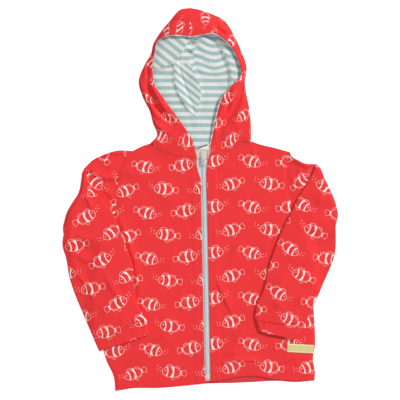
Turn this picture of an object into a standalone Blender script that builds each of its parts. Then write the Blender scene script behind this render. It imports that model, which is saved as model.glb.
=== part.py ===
"""A child's hooded zip jacket, laid flat on its back with its front up and its sleeves folded in over the front.

Metres, +Z up, +Y towards the hood, +X towards the wearer's left. The tables and the functions that shape the
cloth are in millimetres, from the middle of the garment; MM turns them to metres where a vertex is placed.
"Left" and "right" are the wearer's.

The layers, from the surface up: back panel, front panels and the lower stretch of each sleeve, then the upper
stretch of each sleeve, which is folded back in over them. The hood lies open: its back leaf is on the surface,
and its front leaf rolls over at the outline and stands a little proud at the rim.
"""

import math
from collections import namedtuple

import bmesh
import bpy
import numpy as np

MM = 0.001

# Cloth and seams.
GAP = 0.3
BACK_WALL = 1.5
FRONT_WALL = 1.6
HEM_EXTRA = 0.7
HEM_DEPTH = 24.0
FRONT_FLOOR = BACK_WALL + GAP
FRONT_LIFT = 0.4
EDGE_ROLL = 7.0
EDGE_DROP = 0.7
PLACKET_LIFT = 1.1
PLACKET_WIDTH = 18.0
PLACKET_FADE = 9.0

# A sleeve is a flattened tube: half its height, its wall, and the air between it and what it lies on.
SLEEVE_HALF = 2.2
SLEEVE_WALL = 1.3
FOLD_RADIUS = SLEEVE_HALF + 0.4
SLEEVE_REST = 4.4
DROOP_START = 4.0
DROOP_LENGTH = 24.0
ARMHOLE_GAP = 3 * GAP
FOLD_FADE = 0.3  # the share of the upper stretch over which the fold's fullness dies away
CUFF_GAP_FROM = 0.95  # the share of the upper stretch where it draws back from the cuff
CUFF_GATHERS = 9
CUFF_GATHER_RISE = 0.5
CUFF_SWELL = 0.1  # how far the gathers' fullest place is moved towards the sleeve

# The hood's walls and the half height of the roll at its outline.
HOOD_WALL = 1.6
LINING_START = HOOD_WALL + GAP
LINING_WALL = 1.3
HOOD_ROLL = 3.7
ROLL_SHARE = 0.8  # the most of a section's reach that the roll may take
NECK_RAISE = 1.2
NECK_REACH = 14.0
NECK_CLEAR = 1.0
NECK_BOW = 0.12  # the share of the hood's height over which its lower edge follows the neck seam
BOW_START = 0.08

# Zip.
TAPE_WIDTH = 13.0
TAPE_THICK = 0.8
TAPE_TAIL = 8.0
CHAIN_FLOOR = FRONT_FLOOR + TAPE_THICK + GAP
CHAIN_WIDTH = 5.4
CHAIN_HEIGHT = 2.0
CHAIN_EDGE = 0.6  # its height at the sides, as a share of that in the middle
CHAIN_STOP = 2.0
ZIP_BOTTOM = (13.4, -309.0)
ZIP_TOP = (6.2, 71.0)
SLIDER_Y = 65.0
SLIDER_LENGTH = 12.0
SLIDER_WIDTH = 9.4
SLIDER_PLATE = 1.3
BRIDGE_WIDTH = 2.2
BRIDGE_HALF = 4.0
BRIDGE_THICK = 1.1
BRIDGE_ROOM = 1.9
BRIDGE_SINK = 0.4
PULL_LENGTH = 21.0
PULL_WIDTH = 7.0
PULL_THICK = 1.2
PULL_WINDOW = 5.2
PULL_PLAY = 0.6
PULL_HOLE = (3.0, 3.0)
PULL_HOLE_FROM = 2.5
BOX_SIZE = (8.6, 10.0, 2.4)
CAST_BEVEL = 0.5
PULL_BEVEL = 0.35
HOLE_BEVEL = 0.4
ROOM_BEVEL = 0.2
THROUGH = 3.0  # how far a cutter stands out of what it cuts

# Labels, bare: width and height.
SIDE_LABEL = (46.0, 14.4)
SIDE_LABEL_AT = (175.6, -260.0)
SIDE_LABEL_TURN = -3.0
NECK_LABEL = (16.0, 15.0)
NECK_LABEL_AT = (3.6, 79.0)
LABEL_THICK = 0.7

# Outline points, x and y, each where the cloth's edge turns.
SIDE_RIGHT = (
    (-148, -335), (-151, -309), (-163, -283), (-171, -256), (-178, -190), (-173, -127), (-166, -88),
    (-158, -57), (-150, -32), (-146, -6), (-144, 26), (-139, 55), (-131, 74), (-118, 85),
)
SIDE_LEFT = (
    (200, -316.5), (201, -303), (197.5, -279), (201, -254), (200.5, -221), (198, -186), (189, -123),
    (180, -79), (170, -39), (161, -16), (157, 8), (153, 38), (152, 61), (157, 83),
)
CENTRE_RIGHT = ((9, -321.5), (6, -193), (4, -88), (2, -1), (1, 36), (-4, 52), (-6, 64), (-5, 72))
CENTRE_LEFT = ((18.5, -319), (16, -193), (14, -88), (12, -1), (11, 34), (11.5, 55), (14, 72))
HEM_RIGHT = ((9, -321.5), (-45, -327), (-71, -329), (-121, -330), (-148, -335))
HEM_LEFT = (
    (18.5, -319), (49, -314), (66, -310), (88, -308.7), (107, -310), (126, -314), (163, -317), (200, -316.5),
)
HEM_BACK = (
    (-148, -335), (-121, -329.5), (-45, -327), (9, -322), (62, -320.5), (94, -319), (138, -317), (163, -319),
    (200, -316.5),
)
NECK_RIGHT = ((-5, 72), (-26, 75.5), (-45, 78), (-62, 83), (-75, 90), (-86, 98.5))
NECK_LEFT = ((14, 72), (28, 79), (49, 86), (63, 94), (75, 100), (89, 102))
SHOULDER_RIGHT = ((-86, 98.5), (-102, 93), (-118, 85))
SHOULDER_LEFT = ((89, 102), (105, 96.5), (128, 91), (157, 83))
BACK_NECK = (SHOULDER_RIGHT[0], (-1, 88), SHOULDER_LEFT[0])

# The shares of the top edges: the neck's of a front's, the right shoulder's of the back's, the neck's of what is left.
NECK_SHARE = 0.72
BACK_SHOULDER = 0.12
BACK_NECK_SHARE = 0.71

# Sleeves: the cap is the shoulder line out to the fold, the fold is where the sleeve turns back over itself, the
# inner edge then lies on the front, and the outer edge is the garment's outline down to the cuff.
Sleeve = namedtuple("Sleeve", "outward cap underarm fold inner outer cuff_seam cuff_end")
SLEEVE_RIGHT = Sleeve(
    outward=(-1.0, 0.1),
    cap=((-118, 85), (-142, 86), (-170, 78), (-189, 68), (-201, 56)),
    underarm=((-158, -57), (-199, -62), (-237, -66)),
    fold=((-201, 56), (-203, 32), (-208, 10), (-217, -4), (-227, -21), (-233, -41), (-236.5, -56), (-237, -66)),
    inner=((-201, 56), (-196, 33), (-183, 13), (-163, -9), (-147, -34), (-140, -54), (-129.5, -80.5),
           (-118, -114), (-116, -141), (-109, -183), (-97, -203), (-91, -213)),
    outer=((-237, -66), (-240, -77), (-234, -103), (-227, -141), (-222, -156), (-203, -203), (-186, -242)),
    cuff_seam=((-91, -213), (-105, -212.5), (-121, -217), (-145, -231), (-169, -239), (-186, -242)),
    cuff_end=((-90, -235), (-105, -241), (-128, -249), (-159, -258), (-176, -265)),
)
SLEEVE_LEFT = Sleeve(
    outward=(1.0, 0.3),
    cap=((157, 83), (160, 76), (168, 71), (183, 63.5), (203, 62)),
    underarm=((170, -39), (203, -46), (236, -48)),
    fold=((203, 62), (215, 32), (225, 11.5), (233, -10), (236.5, -28), (236, -48)),
    inner=((203, 62), (191, 36), (172.5, 6), (158.5, -22), (142.5, -54), (130.5, -84), (118.5, -121.5),
           (110, -158), (102.5, -174), (96.5, -196), (97, -211)),
    outer=((236, -48), (237.5, -78), (234.5, -100.5), (222, -132), (212.5, -153.5), (200.5, -181.5),
           (182, -217.5), (179, -223)),
    cuff_seam=((97, -211), (110, -213), (124, -215), (142, -217), (161, -215.5), (179, -223)),
    cuff_end=((103, -228), (125, -235), (146, -239), (160, -244), (169, -243)),
)

# Hood, a row for each section from the neck to the crown: its outline, its rim and the rim's height.
HoodRow = namedtuple("HoodRow", "edge_x edge_y rim_x rim_y rim_z")
HOOD_RIGHT = (
    HoodRow(-86, 99.2, -6, 73, 5.4),
    HoodRow(-75, 113, -13, 103, 7.5),
    HoodRow(-82, 133, -27, 126, 9.5),
    HoodRow(-88, 155, -42, 147, 11.5),
    HoodRow(-100, 179, -59, 171, 13.0),
    HoodRow(-107, 207, -78, 199, 13.5),
    HoodRow(-97, 235, -83, 229, 12.5),
    HoodRow(-86, 254, -80, 252, 11.0),
    HoodRow(-81, 273, -75, 274, 11.5),
    HoodRow(-68, 294, -61, 284, 13.5),
    HoodRow(-52, 313, -48, 286, 15.0),
    HoodRow(-36, 331, -33, 285.5, 15.5),
    HoodRow(-18, 335, -18, 284, 15.0),
)
HOOD_LEFT = (
    HoodRow(89, 103.6, 14.5, 73, 5.4),
    HoodRow(89, 130, 21, 110, 8.0),
    HoodRow(86, 160, 28, 143, 10.5),
    HoodRow(81, 185, 38, 176, 12.5),
    HoodRow(78.5, 206, 58, 201, 14.0),
    HoodRow(81.5, 231, 72, 221, 13.5),
    HoodRow(71, 262, 62, 254, 13.5),
    HoodRow(57, 292, 45, 276, 14.5),
    HoodRow(42, 313, 24, 289, 15.5),
    HoodRow(19, 325, 5, 287, 15.5),
    HoodRow(-2, 332, -8, 284.5, 15.0),
    HoodRow(-18, 335, -18, 284, 15.0),
)
CENTRE_SEAM = ((-1, 88.7), (-4, 130), (-10, 180), (-15, 225), (-16, 246))

# Folds: from one end to the other, how far they rise (or sink, where negative) and their half width.
Fold = namedtuple("Fold", "x0 y0 x1 y1 rise width")
FRONT_FOLDS = (
    Fold(28, -135, 44, -178, 1.6, 10),
    Fold(44, -178, 60, -208, 1.3, 10),
    Fold(54, -275, 72, -267, 1.5, 10),
    Fold(146, -292, 160, -288, 1.0, 9),
    Fold(30, -286, 64, -281, 1.2, 9),
    Fold(64, -281, 108, -284, 1.2, 9),
    Fold(-55, -205, -30, -222, 1.2, 12),
    Fold(-75, -250, -48, -236, 1.1, 11),
    Fold(-120, -285, -84, -262, 1.0, 12),
    Fold(40, 30, 88, 8, 1.0, 14),
    Fold(-70, 20, -36, -20, 1.0, 15),
    Fold(70, -70, 50, -110, 1.1, 12),
    Fold(-40, -90, -62, -130, 1.0, 14),
    Fold(84, -230, 60, -246, 1.1, 10),
    Fold(93, 88, 94, 76, 1.0, 9),
    Fold(36, 62, 60, 52, 0.8, 9),
    Fold(-90, 62, -66, 48, 0.8, 10),
)
HEAD_FOLDS = (
    Fold(-163, 33, -144, 36, 0.9, 5),
    Fold(-134, 66, -150, 58, 0.8, 5),
    Fold(170, 40, 176, 56, 0.8, 6),
)
SLEEVE_FOLDS = (
    Fold(-206, 14, -198, 0, 1.3, 7),
    Fold(-196, -2, -194, -14, 1.0, 6),
    Fold(-222, -60, -176, -72, 1.1, 11),
    Fold(-160, -140, -140, -170, 1.0, 12),
    Fold(-205, -150, -184, -180, 1.1, 10),
    Fold(-172, -196, -150, -190, 1.0, 9),
    Fold(226, -30, 198, -52, 1.2, 9),
    Fold(212, -96, 176, -112, 1.1, 11),
    Fold(150, -120, 136, -160, 1.0, 12),
    Fold(188, -160, 166, -186, 1.1, 9),
    Fold(128, -178, 146, -190, 1.0, 8),
    Fold(214, 10, 206, -8, 1.1, 7),
)
HOOD_FOLDS = (
    Fold(-100, 206, -84, 178, -2.6, 6),
    Fold(-84, 178, -77, 164, -2.8, 6),
    Fold(-77, 164, -63, 145, -2.6, 6),
    Fold(-63, 145, -49, 132, -2.0, 6),
    Fold(-74, 111, -60, 106, -1.8, 5),
    Fold(49, 183, 44, 150, -2.6, 6),
    Fold(44, 150, 34, 131, -2.2, 6),
    Fold(34, 131, 35, 104, -1.6, 6),
    Fold(77, 195, 67, 173, -1.8, 6),
    Fold(-44, 311, -24, 313, -1.6, 6),
    Fold(60, 150, 70, 120, 1.2, 10),
    Fold(-60, 120, -40, 100, 1.0, 10),
)
LINING_FOLDS = (
    Fold(-37, 246, -45, 227, 3.6, 11),
    Fold(-45, 227, -37, 180, 3.2, 11),
    Fold(-37, 180, -12, 148, 3.2, 11),
    Fold(-12, 148, -7, 112, 2.4, 10),
    Fold(-60, 232, -44, 252, 2.6, 10),
    Fold(24, 240, 44, 214, 2.6, 12),
    Fold(10, 262, -14, 266, 2.0, 12),
    Fold(8, 190, 20, 150, 1.8, 12),
)

# Stations along and across the pieces, closer where an edge, a hem or a fold needs them.
BODY_ALONG = 19
FRONT_ACROSS = 12
FRONT_EDGES_ALONG = (0.0, 0.012, 0.052, 0.06, 0.985, 1.0)
FRONT_EDGES_ACROSS = (0.0, 0.06, 0.97, 1.0)
BACK_ACROSS = 11
OUTLINE_STATIONS = 30
WIDTH_STATIONS = 9
TUBE_ACROSS = (0.0, 0.011, 0.03, 0.12, 0.3, 0.5, 0.7, 0.88, 0.97, 0.989, 1.0)
UNDER_STATIONS = (0.0, 0.3, 0.6, 0.85, 1.0)
FOLD_TURNS = (45.0, 90.0, 135.0)
OVER_STATIONS = (0.0, 0.06, 0.14, 0.24, 0.34, 0.45, 0.56, 0.67, 0.78, 0.89, 1.0)
CUFF_ACROSS = (
    0.0, 0.011, 0.03, 0.12, 0.18, 0.24, 0.3, 0.35, 0.4, 0.45, 0.5, 0.55, 0.6, 0.65, 0.7, 0.76, 0.82, 0.88, 0.97,
    0.989, 1.0,
)
CUFF_STATIONS = (0.035, 0.25, 0.65, 1.0)
HOOD_ALONG = 17
# Across the hood: 0 to 1 is the back leaf, 1 to 2 the roll at the outline, 2 to 3 the front leaf.
OUTER_LEAF = (0.0, 0.35, 0.7, 0.93, 1.0, 1.25, 1.5, 1.75, 2.0, 2.12, 2.3, 2.5, 2.7, 2.88, 3.0)
LINING_LEAF = (0.0, 0.16, 0.32, 0.48, 0.64, 0.8, 0.93, 1.0, 1.25, 1.5, 1.75, 2.0, 2.12, 2.3, 2.5, 2.7, 2.88, 3.0)
CROWN = 0.999
ZIP_STATIONS = 9
LABEL_STATIONS = (8, 4)

RED = (0.80, 0.035, 0.045, 1.0)
MINT = (0.55, 0.72, 0.69, 1.0)
AQUA = (0.38, 0.64, 0.70, 1.0)
SILVER = (0.72, 0.68, 0.68, 1.0)
LIME = (0.68, 0.69, 0.26, 1.0)
CREAM = (0.86, 0.84, 0.78, 1.0)


# ---------------------------------------------------------------- lines and patches


def curve(points, smooth=True):
    """A line through the points, as a function of the share of its length, from 0 to 1."""
    knots = np.array(points, float)
    steps = np.linalg.norm(np.diff(knots, axis=0), axis=1)
    at = np.concatenate([[0.0], np.cumsum(steps)]) / steps.sum()
    if not smooth:
        return lambda t: np.array([np.interp(t, at, column) for column in knots.T])
    slopes = np.gradient(knots, at, axis=0)

    def point(t):
        t = min(max(t, 0.0), 1.0)
        i = min(max(int(np.searchsorted(at, t, "right")) - 1, 0), len(at) - 2)
        h = at[i + 1] - at[i]
        s = (t - at[i]) / h
        return (
            (2 * s**3 - 3 * s**2 + 1) * knots[i]
            + (s**3 - 2 * s**2 + s) * h * slopes[i]
            + (3 * s**2 - 2 * s**3) * knots[i + 1]
            + (s**3 - s**2) * h * slopes[i + 1]
        )

    return point


def share_at(points, index):
    """The share of the line's length at which it passes one of its points."""
    steps = np.linalg.norm(np.diff(np.array(points, float), axis=0), axis=1)
    return float(steps[:index].sum() / steps.sum())


def stations(count):
    """Evenly spaced shares from 0 to 1."""
    return [k / (count - 1) for k in range(count)]


def joined(first, second, share):
    """One line made of two, the first taking this share of the whole."""
    return lambda t: first(t / share) if t < share else second((t - share) / (1 - share))


def patch(near, far, start, end):
    """A four-sided piece from its edge lines: u runs along near and far, v along start and end."""
    corners = near(0.0), near(1.0), far(0.0), far(1.0)

    def point(u, v):
        ruled = (1 - v) * near(u) + v * far(u) + (1 - u) * start(v) + u * end(v)
        twice = (1 - v) * ((1 - u) * corners[0] + u * corners[1]) + v * ((1 - u) * corners[2] + u * corners[3])
        return ruled - twice

    return point


def smooth_step(t):
    """A soft step from 0 to 1 while t goes from 0 to 1."""
    t = min(max(t, 0.0), 1.0)
    return t * t * (3 - 2 * t)


def to_segment(p, a, b):
    """How far p is from the straight line between a and b."""
    along = b - a
    t = min(max(float(np.dot(p - a, along) / np.dot(along, along)), 0.0), 1.0)
    return float(np.linalg.norm(p - a - t * along))


def relief(folds, x, y):
    """How far the folds raise the cloth here: the highest ridge and the deepest trough that reach it."""
    p = np.array((x, y))
    high = low = 0.0
    for fold in folds:
        d = to_segment(p, np.array((fold.x0, fold.y0)), np.array((fold.x1, fold.y1)))
        rise = fold.rise * math.exp(-((d / fold.width) ** 2))
        high, low = max(high, rise), min(low, rise)
    return high + low


def outside(polygon, x, y):
    """How far a place is outside a closed outline: 0 within it."""
    within = False
    nearest = math.inf
    p = np.array((x, y))
    for a, b in zip(polygon, np.roll(polygon, -1, axis=0)):
        if (a[1] > y) != (b[1] > y) and x < a[0] + (b[0] - a[0]) * (y - a[1]) / (b[1] - a[1]):
            within = not within
        nearest = min(nearest, to_segment(p, a, b))
    return 0.0 if within else nearest


# ---------------------------------------------------------------- making objects


def material(name, colour, roughness, metallic=0.0):
    """A plain surface."""
    made = bpy.data.materials.new(name)
    made.use_nodes = True
    shader = made.node_tree.nodes["Principled BSDF"]
    shader.inputs["Base Color"].default_value = colour
    shader.inputs["Roughness"].default_value = roughness
    shader.inputs["Metallic"].default_value = metallic
    made.diffuse_color = colour
    return made


def finish(name, mesh, surface, crease_angle=50):
    """Turns a bmesh whose vertices are in millimetres into a named object."""
    for vertex in mesh.verts:
        vertex.co *= MM
    if mesh.calc_volume(signed=True) < 0:
        bmesh.ops.reverse_faces(mesh, faces=mesh.faces)
    data = bpy.data.meshes.new(name)
    mesh.to_mesh(data)
    mesh.free()
    data.materials.append(surface)
    data.shade_smooth()
    data.set_sharp_from_angle(angle=math.radians(crease_angle))
    piece = bpy.data.objects.new(name, data)
    bpy.context.scene.collection.objects.link(piece)
    return piece


def slab(across, along):
    """A box from 0 to 1 each way, cut at the stations across (x) and along (y). Every cell of its two faces is
    split along the same diagonal, so that walls which lie on each other keep their gap where they twist."""
    mesh = bmesh.new()
    bmesh.ops.create_cube(mesh, size=1.0)
    bmesh.ops.translate(mesh, verts=mesh.verts, vec=(0.5, 0.5, 0.5))
    for axis, stations in (((1, 0, 0), across), ((0, 1, 0), along)):
        for station in stations[1:-1]:
            plane = tuple(station * part for part in axis)
            geometry = mesh.verts[:] + mesh.edges[:] + mesh.faces[:]
            bmesh.ops.bisect_plane(mesh, geom=geometry, dist=1e-7, plane_co=plane, plane_no=axis)
    for face in [face for face in mesh.faces if abs(face.normal.z) > 0.9]:
        corners = sorted(face.verts, key=lambda vertex: vertex.co.x + vertex.co.y)
        bmesh.utils.face_split(face, corners[0], corners[-1])
    return mesh


def cloth(name, surface, across, along, place):
    """A piece of cloth: place(u, v, side) gives each vertex, side 0 on its lower face and 1 on its upper."""
    mesh = slab(across, along)
    for vertex in mesh.verts:
        vertex.co = place(*vertex.co)
    return finish(name, mesh, surface)


def tube(name, surface, rows, half_height, wall, place, across):
    """A flattened tube with an open end each way, of rows along it.

    place(u, v, b) gives the point of row u at the share v of its width, b above its middle sheet; rows lists
    (u, width). The wall's outer loop is a flat ring with round ends, and its inner loop is a wall's width inside.
    """
    above = [(v, 1.0) for v in across]
    below = [(v, -1.0) for v in across[-2:0:-1]]
    loop = above + below
    turns = len(loop)
    mesh = slab([k / turns for k in range(turns + 1)], [k / (len(rows) - 1) for k in range(len(rows))])
    ends = [face for face in mesh.faces if abs(face.normal.x) > 0.9]
    bmesh.ops.delete(mesh, geom=ends, context="FACES")
    for vertex in mesh.verts:
        share, upper = loop[round(vertex.co.x * turns) % turns]
        u, width = rows[round(vertex.co.y * (len(rows) - 1))]
        inset = wall * (1 - round(vertex.co.z))
        half = half_height - inset
        v = inset / width + share * (1 - 2 * inset / width)
        from_end = min(share, 1 - share) * (width - 2 * inset)
        fullness = math.sqrt(max(0.0, 1 - ((half - min(from_end, half)) / half) ** 2))
        vertex.co = place(u, v, upper * half * fullness)
    bmesh.ops.remove_doubles(mesh, verts=mesh.verts, dist=1e-4)
    return finish(name, mesh, surface)


# ---------------------------------------------------------------- body


def body_outline():
    """The outline of the fronts and the back, closed."""
    right, left = curve(SIDE_RIGHT), curve(SIDE_LEFT)
    marks = stations(OUTLINE_STATIONS)
    neck = [SHOULDER_RIGHT[0], SHOULDER_LEFT[0]]
    return np.array([right(t) for t in marks] + neck + [left(t) for t in marks[::-1]])


def zip_x(y):
    """Where the zip's middle line is, at a place y along it."""
    share = (y - ZIP_BOTTOM[1]) / (ZIP_TOP[1] - ZIP_BOTTOM[1])
    return ZIP_BOTTOM[0] + share * (ZIP_TOP[0] - ZIP_BOTTOM[0])


def front_floor(x, y, from_side, from_neck):
    """The underside of a front panel."""
    lift = FRONT_LIFT * smooth_step(from_side / EDGE_ROLL)
    beside_zip = PLACKET_WIDTH + PLACKET_FADE - abs(x - zip_x(y))
    placket = PLACKET_LIFT * smooth_step(beside_zip / PLACKET_FADE)
    neck = NECK_RAISE * smooth_step(1 - from_neck / NECK_REACH)
    return FRONT_FLOOR + max(lift + relief(FRONT_FOLDS, x, y), placket, neck)


def front_panel(name, surface, centre, hem, top, side):
    """A front: u from the zip to the side, v from the hem to the neck and shoulder."""
    outline = patch(hem, top, centre, side)

    def place(u, v, face):
        x, y = outline(u, v)
        from_side = np.linalg.norm(outline(1.0, v) - (x, y))
        from_hem = np.linalg.norm(outline(u, 0.0) - (x, y))
        from_neck = np.linalg.norm(outline(u, 1.0) - (x, y)) if u < NECK_SHARE else math.inf
        floor = front_floor(x, y, from_side, from_neck)
        thick = FRONT_WALL + HEM_EXTRA * smooth_step((HEM_DEPTH + 1 - from_hem) / 2)
        thick -= EDGE_DROP * (1 - smooth_step(min(from_side, from_hem * 3) / EDGE_ROLL))
        return x, y, floor + face * thick

    along = sorted({*FRONT_EDGES_ALONG} | {k / BODY_ALONG for k in range(2, BODY_ALONG)})
    across = sorted({*FRONT_EDGES_ACROSS} | {k / FRONT_ACROSS for k in range(1, FRONT_ACROSS)})
    return cloth(name, surface, across, along, place)


def body_back(surface):
    """The back lies on the surface. Its shoulders meet the fronts', and its neck the hood's back leaf."""
    back_neck = curve(BACK_NECK, smooth=False)
    right, left = curve(SHOULDER_RIGHT[::-1]), curve(SHOULDER_LEFT)
    top = joined(right, joined(back_neck, left, BACK_NECK_SHARE), BACK_SHOULDER)
    outline = patch(curve(HEM_BACK), top, curve(SIDE_RIGHT), curve(SIDE_LEFT))

    def place(u, v, face):
        x, y = outline(u, v)
        return x, y, face * BACK_WALL

    neck = (1 - BACK_SHOULDER) * BACK_NECK_SHARE
    turns = {0.0, BACK_SHOULDER, BACK_SHOULDER + neck / 2, BACK_SHOULDER + neck, 1.0}
    across = sorted(turns | {k / BACK_ACROSS for k in range(1, BACK_ACROSS)})
    return cloth("body_back", surface, across, stations(BODY_ALONG + 1), place)


# ---------------------------------------------------------------- sleeves


def sleeve_outline(sleeve):
    """The outline of the stretch that lies on the surface, from the armhole to the fold."""
    loops = (sleeve.cap, sleeve.fold[1:], sleeve.underarm[-2::-1])
    return np.array([point for loop in loops for point in loop], float)


def resting_height(below, x, y):
    """The height of what a folded-over sleeve lies on, drooping to the surface beyond the outlines below it."""
    away = min(outside(outline, x, y) for outline in below)
    return SLEEVE_REST * (1 - smooth_step((away - DROOP_START) / DROOP_LENGTH))


def sleeve_sheets(sleeve, armhole):
    """The two stretches of a sleeve's middle sheet: u along the sleeve, v from its upper edge to its underarm."""
    fold = curve(sleeve.fold)
    under = patch(armhole, fold, curve(sleeve.cap), curve(sleeve.underarm))
    over = patch(fold, curve(sleeve.cuff_seam), curve(sleeve.inner), curve(sleeve.outer))
    return lambda u, v: under(v, u), lambda u, v: over(v, u)


def sheet_width(sheet, u):
    """The length of a row of the sheet."""
    points = np.array([sheet(u, v) for v in stations(WIDTH_STATIONS)])
    return float(np.linalg.norm(np.diff(points, axis=0), axis=1).sum())


def over_place(below, sheet, u, v, b, fold_share):
    """A point of a folded-over stretch, b above its middle: its upper wall carries the folds."""
    x, y = sheet(u, v)
    lift = (2 * FOLD_RADIUS - SLEEVE_REST - GAP) * fold_share
    middle = resting_height(below, x, y) + GAP + SLEEVE_HALF + lift
    top = smooth_step(b / SLEEVE_HALF)
    return x, y, middle + b + top * relief(SLEEVE_FOLDS, x, y)


def sleeve_tube(name, surface, sleeve, armhole):
    """A sleeve: out from the armhole along the surface, round the fold, and back in over the front to the cuff."""
    under, over = sleeve_sheets(sleeve, armhole)
    outward = np.array(sleeve.outward) / np.linalg.norm(sleeve.outward)
    below = body_outline(), sleeve_outline(sleeve)
    fold_width = sheet_width(under, 1.0)
    rows = [(("under", u), sheet_width(under, u)) for u in UNDER_STATIONS]
    rows += [(("fold", turn), fold_width) for turn in FOLD_TURNS]
    rows += [(("over", u), sheet_width(over, u)) for u in OVER_STATIONS]

    def place(row, v, b):
        stretch, at = row
        if stretch == "over":
            share = 1 - smooth_step(at / FOLD_FADE)
            end = GAP * smooth_step((at - CUFF_GAP_FROM) / (1 - CUFF_GAP_FROM))
            x, y, z = over_place(below, over, at, v, -b, share)
            return x, y + end, z
        x, y = under(at if stretch == "under" else 1.0, v)
        if stretch == "under":
            x += ARMHOLE_GAP * outward[0] * (1 - at)
            return x, y, SLEEVE_HALF + b + smooth_step(b / SLEEVE_HALF) * relief(HEAD_FOLDS, x, y)
        turn = math.radians(at)
        reach = (FOLD_RADIUS - b) * math.sin(turn)
        z = SLEEVE_HALF + FOLD_RADIUS - (FOLD_RADIUS - b) * math.cos(turn)
        return x + outward[0] * reach, y + outward[1] * reach, z

    return tube(name, surface, rows, SLEEVE_HALF, SLEEVE_WALL, place, TUBE_ACROSS)


def cuff_tube(name, surface, sleeve):
    """A cuff, gathered in little waves on its upper wall."""
    inner, outer = (curve((sleeve.cuff_seam[end], sleeve.cuff_end[end])) for end in (0, -1))
    outline = patch(curve(sleeve.cuff_seam), curve(sleeve.cuff_end), inner, outer)
    below = body_outline(), sleeve_outline(sleeve)

    def sheet(u, v):
        return outline(v, u)

    rows = [(u, sheet_width(sheet, u)) for u in CUFF_STATIONS]

    def place(u, v, b):
        x, y, z = over_place(below, sheet, u, v, b, 0.0)
        swell = math.sin(math.pi * min(u + CUFF_SWELL, 1.0))
        wave = CUFF_GATHER_RISE * (1 + math.cos(2 * math.pi * CUFF_GATHERS * v)) * swell
        return x, y, z + smooth_step(b / SLEEVE_HALF) * wave

    return tube(name, surface, rows, SLEEVE_HALF, SLEEVE_WALL, place, CUFF_ACROSS)


# ---------------------------------------------------------------- hood


def hood_rows(rows):
    """The hood's outline, rim and rim height as functions of the share s from the neck to the crown."""
    at = np.linspace(0, 1, len(rows))
    columns = np.array(rows, float).T
    slopes = [np.gradient(column, at) for column in columns]

    def values(s):
        i = min(int(s * (len(rows) - 1)), len(rows) - 2)
        h = at[i + 1] - at[i]
        t = (s - at[i]) / h
        return [
            (2 * t**3 - 3 * t**2 + 1) * c[i] + (t**3 - 2 * t**2 + t) * h * m[i]
            + (3 * t**2 - 2 * t**3) * c[i + 1] + (t**3 - t**2) * h * m[i + 1]
            for c, m in zip(columns, slopes)
        ]

    return values


def hood_section(rows, neck, sign):
    """Gives point(s, q, depth, folds): s runs from the neck to the crown, q from the centre seam out along the back
    leaf (0 to 1), round the roll at the outline (1 to 2) and in along the front leaf to the rim (2 to 3). Depth is
    how far inside the outer face it is, and folds are those of the back leaf."""
    values = hood_rows(rows)
    centre = curve(CENTRE_SEAM)
    shoulder, throat = np.array(rows[0][:2]), np.array(rows[0][2:4])

    def point(s, q, depth, folds):
        edge_x, edge_y, rim_x, rim_y, rim_z = values(s)
        edge, rim = np.array((edge_x, edge_y)), np.array((rim_x, rim_y))
        seam = centre(smooth_step(s)) + (sign * GAP, 0)
        outward = edge - seam
        outward /= np.linalg.norm(outward)
        inward = rim - edge
        reach = np.linalg.norm(inward)
        roll = min(HOOD_ROLL, ROLL_SHARE * reach)
        inward = inward / reach
        if q <= 1:
            x, y = seam + (edge - outward * HOOD_ROLL - seam) * q
            return x, y, depth + relief(folds, x, y)
        if q < 2:
            turn = math.pi * (q - 1)
            radius = HOOD_ROLL - depth
            low, high = edge - outward * HOOD_ROLL, edge + inward * roll
            x, y = low + (high - low) * (q - 1) + (outward - inward) / 2 * radius * math.sin(turn)
            return x, y, HOOD_ROLL - radius * math.cos(turn)
        along = q - 2
        low = edge + inward * roll
        bow = neck(1 - along) - (shoulder + (throat - shoulder) * along) + (0, NECK_CLEAR)
        bow *= 1 - smooth_step(s / NECK_BOW)
        x, y = low + (rim - low) * along + bow * smooth_step(along / BOW_START)
        z = 2 * HOOD_ROLL + (rim_z - 2 * HOOD_ROLL) * math.sin(math.pi / 2 * along)
        return x + (sign * GAP if s > CROWN else 0), y, z - depth + relief(HOOD_FOLDS, x, y)

    return point


def hood_piece(name, surface, section, start, wall, leaf, folds):
    """A wall of the hood, from start to start + wall inside the outer face, of stations leaf along each section."""

    def place(u, v, face):
        q = float(np.interp(u, np.linspace(0, 1, len(leaf)), leaf))
        return section(v, q, start + wall * (1 - face), folds)

    return cloth(name, surface, stations(len(leaf)), stations(HOOD_ALONG), place)


# ---------------------------------------------------------------- zip and labels


def box(name, surface, low, high, bevel=0.0):
    """A plain block between two corners, its edges eased by bevel."""
    mesh = bmesh.new()
    bmesh.ops.create_cube(mesh, size=1.0)
    low, high = np.array(low, float), np.array(high, float)
    for vertex in mesh.verts:
        vertex.co = (low + high) / 2 + np.array(vertex.co) * (high - low)
    if bevel:
        bmesh.ops.bevel(mesh, geom=mesh.edges[:], offset=bevel, segments=2, profile=0.5, affect="EDGES", material=-1)
    return finish(name, mesh, surface)


def union(name, first, others):
    """One body made of several that overlap."""
    for other in others:
        modifier = first.modifiers.new("joined", "BOOLEAN")
        modifier.operation = "UNION"
        modifier.object = other
        other.hide_render = True
        other.display_type = "WIRE"
    first.name = name
    return first


def cut(piece, cutter):
    """Takes a cutter's shape out of a piece."""
    modifier = piece.modifiers.new("cut", "BOOLEAN")
    modifier.operation = "DIFFERENCE"
    modifier.object = cutter
    cutter.hide_render = True
    cutter.display_type = "WIRE"
    return piece


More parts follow.
